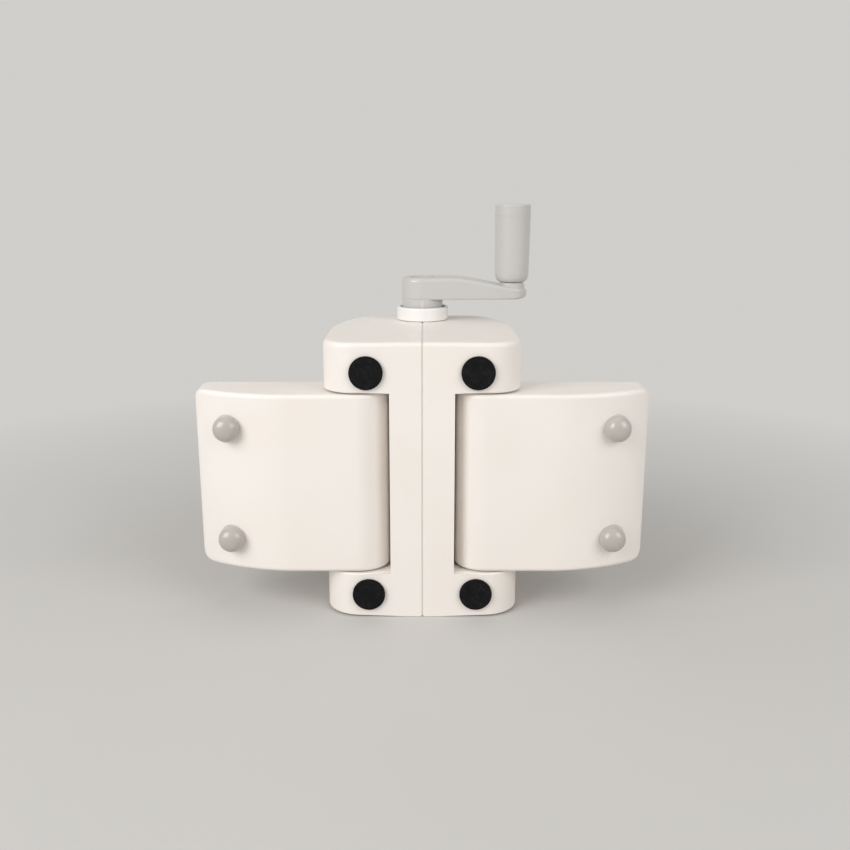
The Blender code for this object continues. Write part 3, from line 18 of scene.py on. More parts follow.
import bmesh
import bpy
from mathutils import Euler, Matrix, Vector


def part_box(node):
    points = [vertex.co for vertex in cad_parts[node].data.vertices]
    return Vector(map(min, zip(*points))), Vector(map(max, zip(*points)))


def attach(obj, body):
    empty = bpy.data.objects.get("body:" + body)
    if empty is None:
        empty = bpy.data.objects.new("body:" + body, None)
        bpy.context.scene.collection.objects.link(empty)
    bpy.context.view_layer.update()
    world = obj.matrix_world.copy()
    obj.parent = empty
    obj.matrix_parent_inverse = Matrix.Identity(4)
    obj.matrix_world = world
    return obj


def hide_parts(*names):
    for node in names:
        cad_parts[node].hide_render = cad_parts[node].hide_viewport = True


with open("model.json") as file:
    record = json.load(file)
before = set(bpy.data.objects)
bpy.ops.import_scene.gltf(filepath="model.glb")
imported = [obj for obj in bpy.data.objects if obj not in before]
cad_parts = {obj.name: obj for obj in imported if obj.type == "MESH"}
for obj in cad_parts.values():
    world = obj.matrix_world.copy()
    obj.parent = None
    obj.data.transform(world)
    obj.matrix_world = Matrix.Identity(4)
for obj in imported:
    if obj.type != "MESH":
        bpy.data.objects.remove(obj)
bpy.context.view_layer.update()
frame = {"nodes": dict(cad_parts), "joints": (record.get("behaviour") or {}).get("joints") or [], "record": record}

Point = tuple[float, float]
Place = tuple[float, float, float]
Colour = tuple[float, float, float]

MM = 0.001
WELD = 0.002 * MM
OVERRUN = 1.0 * MM
QUARTER_TURN = math.pi / 2
FULL_TURN = 2 * math.pi

log = logging.getLogger("die_cutting_machine")


class Side(Enum):
    """The two sides of the machine, as signs along X."""

    LEFT = -1
    RIGHT = 1

    @property
    def word(self) -> str:
        """The side's name as piece names have it."""
        return self.name.lower()

    @property
    def wing(self) -> "Body":
        """The body of this side's table."""
        return Body[self.name + "_WING"]


class Body(Enum):
    """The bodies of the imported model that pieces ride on."""

    ROOT = "root"
    CRANK = "crank"
    GRIP = "grip"
    UPPER_ROLLER = "upper_roller_set"
    LOWER_ROLLER = "lower_roller_set"
    LEFT_WING = "left_wing"
    RIGHT_WING = "right_wing"


class Slot(Enum):
    """The record's material slots."""

    IVORY = "ivory_plastic"
    WHITE = "white_plastic"
    GREY = "light_grey_plastic"
    RUBBER = "warm_grey_rubber"
    FELT = "black_felt"
    BRIGHT_STEEL = "bright_steel"
    DARK_STEEL = "dark_steel"
    BRONZE = "bronze"
    NYLON = "nylon"


class Carve(Enum):
    """What a tool does to the piece that it works on."""

    CUT = "DIFFERENCE"
    ADD = "UNION"


class Spindle(Enum):
    """The direction of the axis that a turned piece goes round."""

    ALONG = (0, 0, 1)
    UP = (0, 1, 0)


def joint_place(name: str) -> Vector:
    """Where the axis of a joint passes the floor.

    Args:
        name: The joint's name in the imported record.

    Returns:
        A point on the axis at z = 0.
    """
    joint = next(item for item in frame["joints"] if item["name"] == name)
    return Vector(joint["pos_m"])


HOUSING_LOW, HOUSING_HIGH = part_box("right_housing")
UNDERSIDE = HOUSING_LOW.y
BODY_HEIGHT = HOUSING_HIGH.y - UNDERSIDE
BODY_LENGTH = HOUSING_HIGH.z
BODY_HALF_WIDTH = HOUSING_HIGH.x
SEAM_X = HOUSING_LOW.x
HINGE_X = joint_place("right_wing_fold").x
HINGE_HEIGHT = joint_place("right_wing_fold").y - UNDERSIDE
HINGE_RADIUS = BODY_HALF_WIDTH - HINGE_X
CRANK_PLACE = joint_place("crank_turn")
GRIP_PLACE = joint_place("grip_spin")
SHELL_LOW, SHELL_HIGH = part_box("right_wing_shell")
WING_LOW = SHELL_LOW.z
WING_HIGH = SHELL_HIGH.z
WING_LENGTH = SHELL_HIGH.x - HINGE_X


def depth(height: float) -> float:
    """Y of a height above the underside."""
    return UNDERSIDE + height


def hinge_place(side: Side) -> Vector:
    """Where the axis of a side's table passes the floor."""
    return Vector((side.value * HINGE_X, depth(HINGE_HEIGHT), 0))


def arc(x: float, y: float, radius: float, start: float, end: float, steps: int) -> list[Point]:
    """Points of an arc about a centre.

    Args:
        x: First coordinate of the centre.
        y: Second coordinate of the centre.
        radius: Radius of the arc.
        start: Angle at which it starts.
        end: Angle at which it ends.
        steps: Number of equal steps.

    Returns:
        The points, both ends included.
    """
    turns = [start + (end - start) * index / steps for index in range(steps + 1)]
    return [(x + radius * math.cos(turn), y + radius * math.sin(turn)) for turn in turns]


def rounded(corners: Sequence[tuple[float, float, float]], steps: int = 5) -> list[Point]:
    """An outline whose corners are rounded.

    Args:
        corners: Each corner as its two coordinates and its radius; a radius of 0 stays sharp.
        steps: Number of steps in each rounded corner.

    Returns:
        The points in order, without the first and last corner rounded if their radius is 0.
    """
    points: list[Point] = []
    count = len(corners)
    for index, (x, y, radius) in enumerate(corners):
        here = Vector((x, y))
        if not radius:
            points.append((x, y))
            continue
        before = (Vector(corners[index - 1][:2]) - here).normalized()
        after = (Vector(corners[(index + 1) % count][:2]) - here).normalized()
        half = before.angle(after) / 2
        middle = here + (before + after).normalized() * radius / math.sin(half)
        first = here + before * radius / math.tan(half) - middle
        last = here + after * radius / math.tan(half) - middle
        sweep = first.angle_signed(last)
        for step in range(steps + 1):
            turn = -sweep * step / steps
            cosine, sine = math.cos(turn), math.sin(turn)
            points.append((middle.x + first.x * cosine - first.y * sine,
                           middle.y + first.x * sine + first.y * cosine))
    return points


@contextmanager
def editing(piece: bpy.types.Object, mode: str = "EDGE") -> Iterator[None]:
    """Edit mode on one piece with nothing selected.

    Args:
        piece: The piece to edit.
        mode: The select mode, VERT, EDGE or FACE.
    """
    bpy.ops.object.select_all(action="DESELECT")
    piece.select_set(True)
    bpy.context.view_layer.objects.active = piece
    bpy.ops.object.mode_set(mode="EDIT")
    bpy.ops.mesh.select_mode(type=mode)
    bpy.ops.mesh.select_all(action="DESELECT")
    yield
    bpy.ops.object.mode_set(mode="OBJECT")


def choose_edges(piece: bpy.types.Object, test: Callable[[bmesh.types.BMEdge], bool]) -> int:
    """Select the edges that pass a test, in edit mode.

    Args:
        piece: The piece in edit mode.
        test: Says whether an edge is chosen.

    Returns:
        How many edges are selected.
    """
    work = bmesh.from_edit_mesh(piece.data)
    chosen = [edge for edge in work.edges if test(edge)]
    for edge in chosen:
        edge.select_set(True)
    bmesh.update_edit_mesh(piece.data)
    return len(chosen)


def is_sharp(edge: bmesh.types.BMEdge, least: float = math.radians(40)) -> bool:
    """Whether an edge stands out between two faces that turn away from each other."""
    return edge.is_manifold and edge.is_convex and edge.calc_face_angle() > least


def soften(piece: bpy.types.Object, width: float, steps: int,
           test: Callable[[bmesh.types.BMEdge], bool] = is_sharp) -> None:
    """Round the edges of a piece that pass a test.

    Args:
        piece: The piece to work on.
        width: Width of the bevel.
        steps: Number of its segments.
        test: Says whether an edge is rounded.
    """
    with editing(piece):
        if choose_edges(piece, test):
            bpy.ops.mesh.bevel(offset=width, segments=steps, profile=0.5, affect="EDGES",
                               clamp_overlap=True)


def tidy(piece: bpy.types.Object, face_out: bool = True) -> None:
    """Merge double points and, on a plain solid, turn all faces outwards."""
    with editing(piece, "VERT"):
        bpy.ops.mesh.select_all(action="SELECT")
        bpy.ops.mesh.remove_doubles(threshold=WELD)
        if face_out:
            bpy.ops.mesh.normals_make_consistent(inside=False)


def ring_of(name: str, places: Sequence[Place]) -> bpy.types.Object:
    """A circle primitive whose points are moved to the given places.

    Args:
        name: Name of the new piece.
        places: One place for each point, in order.

    Returns:
        The piece, a closed line.
    """
    bpy.ops.mesh.primitive_circle_add(vertices=len(places), radius=1, fill_type="NOTHING")
    piece = bpy.context.object
    piece.name = name
    piece.data.name = name
    for vertex, place in zip(piece.data.vertices, places):
        vertex.co = place
    return piece


def lofted(name: str, sections: Sequence[Sequence[Place]],
           caps: Optional[Sequence[Sequence[int]]] = None) -> bpy.types.Object:
    """A solid that is extruded from section to section.

    Args:
        name: Name of the new piece.
        sections: Closed sections with as many places each.
        caps: Loops of indices that close an end, or None for one face over the whole end.

    Returns:
        The piece, closed at both ends.
    """
    piece = ring_of(name, sections[0])
    first = list(range(len(sections[0])))
    order = first
    with editing(piece, "EDGE"):
        bpy.ops.mesh.select_all(action="SELECT")
        for section in sections[1:]:
            bpy.ops.mesh.extrude_region_move()
            work = bmesh.from_edit_mesh(piece.data)
            work.verts.ensure_lookup_table()
            work.verts.index_update()
            following = []
            for index, place in zip(order, section):
                vert = work.verts[index]
                fresh = next(edge.other_vert(vert) for edge in vert.link_edges
                             if edge.other_vert(vert).select)
                fresh.co = place
                following.append(fresh.index)
            order = following
            bmesh.update_edit_mesh(piece.data)
        bpy.ops.mesh.select_mode(type="VERT")
        for end in (first, order):
            for loop in caps or [list(range(len(end)))]:
                bpy.ops.mesh.select_all(action="DESELECT")
                work = bmesh.from_edit_mesh(piece.data)
                work.verts.ensure_lookup_table()
                for index in loop:
                    work.verts[end[index]].select_set(True)
                work.select_flush_mode()
                bpy.ops.mesh.edge_face_add()
    tidy(piece)
    return piece


def spun(name: str, outline: Sequence[Point], centre: Vector, sides: int,
         spindle: Spindle = Spindle.ALONG) -> bpy.types.Object:
    """A turned solid.

    Args:
        name: Name of the new piece.
        outline: Closed outline, each point as its radius and its place along the axis.
        centre: A point on the axis.
        sides: Number of steps in a full turn.
        spindle: The axis that it is turned about.

    Returns:
        The piece, closed and with its faces outwards.
    """
    if spindle is Spindle.ALONG:
        places = [(centre.x + radius, centre.y, along) for radius, along in outline]
    else:
        places = [(centre.x + radius, along, centre.z) for radius, along in outline]
    piece = ring_of(name, places)
    with editing(piece, "EDGE"):
        bpy.ops.mesh.select_all(action="SELECT")
        bpy.ops.mesh.spin(steps=sides, angle=FULL_TURN, center=centre, axis=spindle.value)
        bpy.ops.mesh.select_all(action="SELECT")
        bpy.ops.mesh.remove_doubles(threshold=WELD)
        bpy.ops.mesh.normals_make_consistent(inside=False)
    return piece


def settle(piece: bpy.types.Object) -> None:
    """Move an object's place, turn and size into its mesh."""
    bpy.ops.object.select_all(action="DESELECT")
    piece.select_set(True)
    bpy.context.view_layer.objects.active = piece
    bpy.ops.object.transform_apply(location=True, rotation=True, scale=True)


def block(low: Place, high: Place) -> bpy.types.Object:
    """A box between two corners, as a tool for carving."""
    middle = [(a + b) / 2 for a, b in zip(low, high)]
    size = [b - a for a, b in zip(low, high)]
    bpy.ops.mesh.primitive_cube_add(size=1, location=middle, scale=size)
    piece = bpy.context.object
    settle(piece)
    return piece


def rod(radius: float, start: Vector, end: Vector, sides: int) -> bpy.types.Object:
    """A cylinder between two points, as a tool for carving.

    Args:
        radius: Its radius.
        start: Middle of one end.
        end: Middle of the other end.
        sides: Number of its sides.

    Returns:
        The cylinder.
    """
    run = Vector(end) - Vector(start)
    turn = run.to_track_quat("Z", "Y").to_euler()
    bpy.ops.mesh.primitive_cylinder_add(vertices=sides, radius=radius, depth=run.length,
                                        location=(Vector(start) + Vector(end)) / 2, rotation=turn)
    piece = bpy.context.object
    settle(piece)
    return piece


def carve(piece: bpy.types.Object, tool: bpy.types.Object, how: Carve = Carve.CUT) -> None:
    """Cut a tool's shape out of a piece, or add it.

    Args:
        piece: The piece to work on.
        tool: The shape that it is worked with, which is used up.
        how: Whether the tool cuts or adds.
    """
    modifier = piece.modifiers.new(how.name.lower(), "BOOLEAN")
    modifier.operation = how.value
    modifier.object = tool
    modifier.solver = "EXACT"
    bpy.ops.object.select_all(action="DESELECT")
    piece.select_set(True)
    bpy.context.view_layer.objects.active = piece
    bpy.ops.object.modifier_apply(modifier=modifier.name)
    bpy.data.objects.remove(tool, do_unlink=True)
    tidy(piece, face_out=False)


def drill(piece: bpy.types.Object, radius: float, place: Vector, low: float, high: float,
          sides: int) -> None:
    """Drill a round hole along Z.

    Args:
        piece: The piece to work on.
        radius: The hole's radius.
        place: A point on its axis.
        low: Z at which it starts.
        high: Z at which it ends.
        sides: Number of its sides.
    """
    start = Vector((place.x, place.y, low))
    carve(piece, rod(radius, start, Vector((place.x, place.y, high)), sides))


class Graph:
    """A node tree that is being wired."""

    def __init__(self, tree: bpy.types.NodeTree) -> None:
        """Start on a tree."""
        self.tree = tree

    def node(self, kind: str, **values: object) -> bpy.types.Node:
        """Add a node.

        Args:
            kind: The node's type.
            **values: Properties of the node by name.

        Returns:
            The new node.
        """
        made = self.tree.nodes.new(kind)
        for name, value in values.items():
            setattr(made, name, value)
        return made

    def link(self, source: bpy.types.NodeSocket, target: bpy.types.NodeSocket) -> None:
        """Join an output to an input."""
        self.tree.links.new(source, target)

    def number(self, operation: str, first: object, second: object) -> bpy.types.NodeSocket:
        """A sum, product or the like of two values, each a socket or a number."""
        made = self.node("ShaderNodeMath", operation=operation)
        for socket, value in zip(made.inputs, (first, second)):
            if isinstance(value, bpy.types.NodeSocket):
                self.link(value, socket)
            else:
                socket.default_value = value
        return made.outputs[0]

    def spread(self, value: bpy.types.NodeSocket, low: float, high: float) -> bpy.types.NodeSocket:
        """The share, from 0 to 1, at which a value lies between two levels."""
        made = self.node("ShaderNodeMapRange", clamp=True)
        self.link(value, made.inputs["Value"])
        made.inputs["From Min"].default_value = low
        made.inputs["From Max"].default_value = high
        return made.outputs["Result"]

    def blend(self, share: object, first: object, second: object) -> bpy.types.NodeSocket:
        """A colour between two others, each a socket or a colour."""
        made = self.node("ShaderNodeMix", data_type="RGBA")
        pairs = ((made.inputs[0], share), (made.inputs[6], first), (made.inputs[7], second))
        for socket, value in pairs:
            if isinstance(value, bpy.types.NodeSocket):
                self.link(value, socket)
            elif isinstance(value, tuple):
                socket.default_value = (*value, 1)
            else:
                socket.default_value = value
        return made.outputs[2]

    def noise(self, scale: object, detail: float, stretch: Place = (1, 1, 1)) -> bpy.types.NodeSocket:
        """Noise on Object coordinates.

        Args:
            scale: A socket or number, in cells for each metre.
            detail: How much finer noise is laid over it.
            stretch: Factors for the coordinates.

        Returns:
            The noise's value.
        """
        place = self.node("ShaderNodeTexCoord")
        mapping = self.node("ShaderNodeMapping")
        mapping.inputs["Scale"].default_value = stretch
        texture = self.node("ShaderNodeTexNoise")
        texture.inputs["Detail"].default_value = detail
        self.link(place.outputs["Object"], mapping.inputs["Vector"])
        self.link(mapping.outputs["Vector"], texture.inputs["Vector"])
        if isinstance(scale, bpy.types.NodeSocket):
            self.link(scale, texture.inputs["Scale"])
        else:
            texture.inputs["Scale"].default_value = scale
        return texture.outputs["Fac"]

    def bump(self, height: bpy.types.NodeSocket, strength: float, relief: float) -> bpy.types.NodeSocket:
        """The normal of a surface that a height raises.

        Args:
            height: The height, from 0 to 1.
            strength: How strongly it shows.
            relief: What a height of 1 stands for.

        Returns:
            The normal.
        """
        made = self.node("ShaderNodeBump")
        made.inputs["Strength"].default_value = strength
        made.inputs["Distance"].default_value = relief
        self.link(height, made.inputs["Height"])
        return made.outputs["Normal"]


class Effect:
    """A shader node group that several materials share, built once."""

    made: dict[str, bpy.types.NodeTree] = {}
    patch_detail = 2.5
    patch_levels = (0.35, 0.65)
    grain_detail = 3.0
    wave_detail = 1.0
    edge_levels = (0.52, 0.60)
    broken_scale = 260.0
    broken_detail = 3.0
    broken_levels = (0.35, 0.60)

    @classmethod
    def tree(cls, name: str, inputs: Sequence[tuple[str, str]], outputs: Sequence[tuple[str, str]],
             wire: Callable[[Graph, bpy.types.Node, bpy.types.Node], None]) -> bpy.types.NodeTree:
        """The group of a name, built at its first use.

        Args:
            name: Name of the group.
            inputs: Name and kind of each input, NodeSocketFloat or NodeSocketColor.
            outputs: Name and kind of each output.
            wire: Fills the group, given its graph, its input node and its output node.

        Returns:
            The group's node tree.
        """
        if name not in cls.made:
            tree = bpy.data.node_groups.new(name, "ShaderNodeTree")
            for direction, sockets in (("INPUT", inputs), ("OUTPUT", outputs)):
                for label, kind in sockets:
                    tree.interface.new_socket(label, in_out=direction, socket_type=kind)
            graph = Graph(tree)
            wire(graph, graph.node("NodeGroupInput"), graph.node("NodeGroupOutput"))
            cls.made[name] = tree
        return cls.made[name]

    @classmethod
    def patches(cls) -> bpy.types.NodeTree:
        """Broad soft patches in which a colour and a roughness drift."""

        def wire(graph: Graph, given: bpy.types.Node, result: bpy.types.Node) -> None:
            """Mix two colours and two roughnesses by broad noise."""
            drift = graph.noise(given.outputs["Patches"], cls.patch_detail)
            share = graph.spread(drift, *cls.patch_levels)
            colour = graph.blend(share, given.outputs["Colour"], given.outputs["Shade"])
            lift = graph.number("MULTIPLY", share, given.outputs["Roughness Drift"])
            graph.link(colour, result.inputs["Colour"])
            roughness = graph.number("ADD", given.outputs["Roughness"], lift)
            graph.link(roughness, result.inputs["Roughness"])

        return cls.tree(
            "soft_patches",
            [("Colour", "NodeSocketColor"), ("Shade", "NodeSocketColor"),
             ("Patches", "NodeSocketFloat"), ("Roughness", "NodeSocketFloat"),
             ("Roughness Drift", "NodeSocketFloat")],
            [("Colour", "NodeSocketColor"), ("Roughness", "NodeSocketFloat")], wire)

    @classmethod
    def grain(cls) -> bpy.types.NodeTree:
        """The fine grain that a mould leaves, over a faint long waviness."""

        def wire(graph: Graph, given: bpy.types.Node, result: bpy.types.Node) -> None:
            """Add fine and broad noise to one height."""
            fine = graph.noise(given.outputs["Grain"], cls.grain_detail)
            broad = graph.noise(given.outputs["Waves"], cls.wave_detail)
            wave = graph.number("MULTIPLY", broad, given.outputs["Wave Share"])
            graph.link(graph.number("ADD", fine, wave), result.inputs["Height"])

        return cls.tree(
            "moulded_grain",
            [("Grain", "NodeSocketFloat"), ("Waves", "NodeSocketFloat"),
             ("Wave Share", "NodeSocketFloat")],
            [("Height", "NodeSocketFloat")], wire)

    @classmethod
    def rubbed_edges(cls) -> bpy.types.NodeTree:
        """Edges that handling has made a little lighter."""

        def wire(graph: Graph, given: bpy.types.Node, result: bpy.types.Node) -> None:
            """Mix in the rubbed colour where the surface is sharply convex."""
            geometry = graph.node("ShaderNodeNewGeometry")
            edge = graph.spread(geometry.outputs["Pointiness"], *cls.edge_levels)
            worn = graph.noise(cls.broken_scale, cls.broken_detail)
            broken = graph.number("MULTIPLY", edge, graph.spread(worn, *cls.broken_levels))
            share = graph.number("MULTIPLY", broken, given.outputs["Amount"])
            colour = graph.blend(share, given.outputs["Colour"], given.outputs["Rubbed"])
            graph.link(colour, result.inputs["Colour"])
            graph.link(share, result.inputs["Share"])

        return cls.tree(
            "rubbed_edges",
            [("Colour", "NodeSocketColor"), ("Rubbed", "NodeSocketColor"),
             ("Amount", "NodeSocketFloat")],
            [("Colour", "NodeSocketColor"), ("Share", "NodeSocketFloat")], wire)


def place_group(graph: Graph, tree: bpy.types.NodeTree, **values: object) -> bpy.types.Node:
    """Put a shared effect in a material.

    Args:
        graph: The material's graph.
        tree: The effect's node tree.
        **values: A socket, number or colour for each input, its name with _ for a blank.

    Returns:
        The group node.
    """
    made = graph.node("ShaderNodeGroup", node_tree=tree)
    for name, value in values.items():
        socket = made.inputs[name.replace("_", " ")]
        if isinstance(value, bpy.types.NodeSocket):
            graph.link(value, socket)
        elif isinstance(value, tuple):
            socket.default_value = (*value, 1)
        else:
            socket.default_value = value
    return made


def new_material(name: str) -> tuple[bpy.types.Material, Graph, bpy.types.Node]:
    """An empty material with its graph and its Principled shader."""
    material = bpy.data.materials.new(name)
    material.use_nodes = True
    return material, Graph(material.node_tree), material.node_tree.nodes["Principled BSDF"]


@dataclass(frozen=True)
class MouldedPlastic:
    """A moulded plastic with drifting colour, fine grain and softly rubbed edges."""

    name: str
    colour: Colour
    shade: Colour
    rubbed: Colour
    roughness: float
    roughness_drift: float = 0.06
    patch: float = 45 * MM
    grain: float = 0.45 * MM
    wave: float = 30 * MM
    wave_share: float = 1.5
    relief: float = 0.012 * MM
    bump: float = 0.5
    wear_share: float = 0.5
    coat: float = 0.0
    coat_roughness: float = 0.15

    def material(self) -> bpy.types.Material:
        """The finish as a node material, made once."""
        if self.name in bpy.data.materials:
            return bpy.data.materials[self.name]
        material, graph, shader = new_material(self.name)
        patches = place_group(graph, Effect.patches(), Colour=self.colour, Shade=self.shade,
                              Patches=1 / self.patch, Roughness=self.roughness,
                              Roughness_Drift=self.roughness_drift)
        edges = place_group(graph, Effect.rubbed_edges(), Colour=patches.outputs["Colour"],
                            Rubbed=self.rubbed, Amount=self.wear_share)
        grain = place_group(graph, Effect.grain(), Grain=1 / self.grain, Waves=1 / self.wave,
                            Wave_Share=self.wave_share)
        graph.link(graph.bump(grain.outputs["Height"], self.bump, self.relief), shader.inputs["Normal"])
        graph.link(edges.outputs["Colour"], shader.inputs["Base Color"])
        graph.link(patches.outputs["Roughness"], shader.inputs["Roughness"])
        shader.inputs["Coat Weight"].default_value = self.coat
        shader.inputs["Coat Roughness"].default_value = self.coat_roughness
        return material


@dataclass(frozen=True)
class FoamFelt:
    """A matt dark foam with open pores and a grey bloom of dust."""

    name: str
    colour: Colour
    dust: Colour
    pore: float = 0.55 * MM
    pore_detail: float = 4.0
    tip_levels: Point = (0.45, 0.75)
    bloom: float = 3.5 * MM
    bloom_detail: float = 5.0
    bloom_levels: Point = (0.40, 0.75)
    relief: float = 0.20 * MM
    bump: float = 0.8
    roughness: float = 0.80
    tip_roughness: float = 0.12
    gloss: float = 0.12

    def material(self) -> bpy.types.Material:
        """The finish as a node material, made once."""
        if self.name in bpy.data.materials:
            return bpy.data.materials[self.name]
        material, graph, shader = new_material(self.name)
        pores = graph.noise(1 / self.pore, self.pore_detail)
        bloom = graph.spread(graph.noise(1 / self.bloom, self.bloom_detail), *self.bloom_levels)
        tips = graph.spread(pores, *self.tip_levels)
        share = graph.number("MULTIPLY", bloom, tips)
        graph.link(graph.blend(share, self.colour, self.dust), shader.inputs["Base Color"])
        graph.link(graph.bump(pores, self.bump, self.relief), shader.inputs["Normal"])
        lift = graph.number("MULTIPLY", tips, self.tip_roughness)
        graph.link(graph.number("ADD", lift, self.roughness), shader.inputs["Roughness"])
        shader.inputs["Specular IOR Level"].default_value = self.gloss
        return material


@dataclass(frozen=True)
class TurnedMetal:
    """A metal with the fine marks of the lathe or the press."""

    name: str
    colour: Colour
    shade: Colour
    roughness: float
    mark: float = 0.25 * MM
    stretch: Place = (0.05, 0.05, 1.0)
    stain: float = 25 * MM
    stain_levels: Point = (0.40, 0.70)
    detail: float = 3.0
    roughness_drift: float = 0.10
    relief: float = 0.01 * MM
    bump: float = 0.4

    def material(self) -> bpy.types.Material:
        """The finish as a node material, made once."""
        if self.name in bpy.data.materials:
            return bpy.data.materials[self.name]
        material, graph, shader = new_material(self.name)
        marks = graph.noise(1 / self.mark, self.detail, self.stretch)
        stain = graph.spread(graph.noise(1 / self.stain, self.detail), *self.stain_levels)
        graph.link(graph.blend(stain, self.colour, self.shade), shader.inputs["Base Color"])
        lift = graph.number("MULTIPLY", graph.number("ADD", marks, stain), self.roughness_drift)
        graph.link(graph.number("ADD", lift, self.roughness), shader.inputs["Roughness"])
        graph.link(graph.bump(marks, self.bump, self.relief), shader.inputs["Normal"])
        shader.inputs["Metallic"].default_value = 1.0
        return material


FINISHES = {
    Slot.IVORY: MouldedPlastic("ivory_moulding", (0.885, 0.835, 0.789), (0.87, 0.815, 0.76),
                               (0.93, 0.91, 0.88), 0.36),
    Slot.WHITE: MouldedPlastic("white_moulding", (0.865, 0.845, 0.825), (0.845, 0.825, 0.795),
                               (0.90, 0.89, 0.875), 0.30),
    Slot.GREY: MouldedPlastic("grey_moulding", (0.575, 0.56, 0.547), (0.545, 0.53, 0.517),
                              (0.70, 0.69, 0.68), 0.27, coat=0.3),
    Slot.RUBBER: MouldedPlastic("grey_rubber", (0.47, 0.44, 0.405), (0.44, 0.41, 0.375),
                                (0.55, 0.52, 0.49), 0.32, coat=0.6),
    Slot.FELT: FoamFelt("black_foam", (0.006, 0.006, 0.0065), (0.035, 0.035, 0.037)),
    Slot.BRIGHT_STEEL: TurnedMetal("ground_steel", (0.60, 0.60, 0.61), (0.50, 0.50, 0.52), 0.24),
    Slot.DARK_STEEL: TurnedMetal("pressed_steel", (0.33, 0.33, 0.34), (0.26, 0.26, 0.27), 0.38),
    Slot.BRONZE: TurnedMetal("sintered_bronze", (0.58, 0.40, 0.20), (0.45, 0.31, 0.16), 0.36),
    Slot.NYLON: MouldedPlastic("natural_nylon", (0.78, 0.76, 0.70), (0.74, 0.71, 0.63),
                               (0.84, 0.82, 0.78), 0.50),
}


def complete(piece: bpy.types.Object, slot: Slot, body: Body, nodes: Sequence[str],
             smooth_angle: float = math.radians(35)) -> bpy.types.Object:
    """Shade a finished piece, dress it and hang it on its body.

    Args:
        piece: The finished piece.
        slot: Its material slot.
        body: The body that it moves with.
        nodes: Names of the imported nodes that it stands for.
        smooth_angle: Edges that turn by more than this stay sharp.

    Returns:
        The piece.
    """
    bpy.ops.object.select_all(action="DESELECT")
    piece.select_set(True)
    bpy.context.view_layer.objects.active = piece
    bpy.ops.object.shade_smooth_by_angle(angle=smooth_angle)
    weighted = piece.modifiers.new("weighted", "WEIGHTED_NORMAL")
    weighted.keep_sharp = True
    bpy.ops.object.modifier_apply(modifier=weighted.name)
    piece.data.materials.clear()
    piece.data.materials.append(FINISHES[slot].material())
    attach(piece, body.value)
    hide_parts(*nodes)
    log.info("%s: %d faces, rides on %s", piece.name, len(piece.data.polygons), body.value)
    return piece


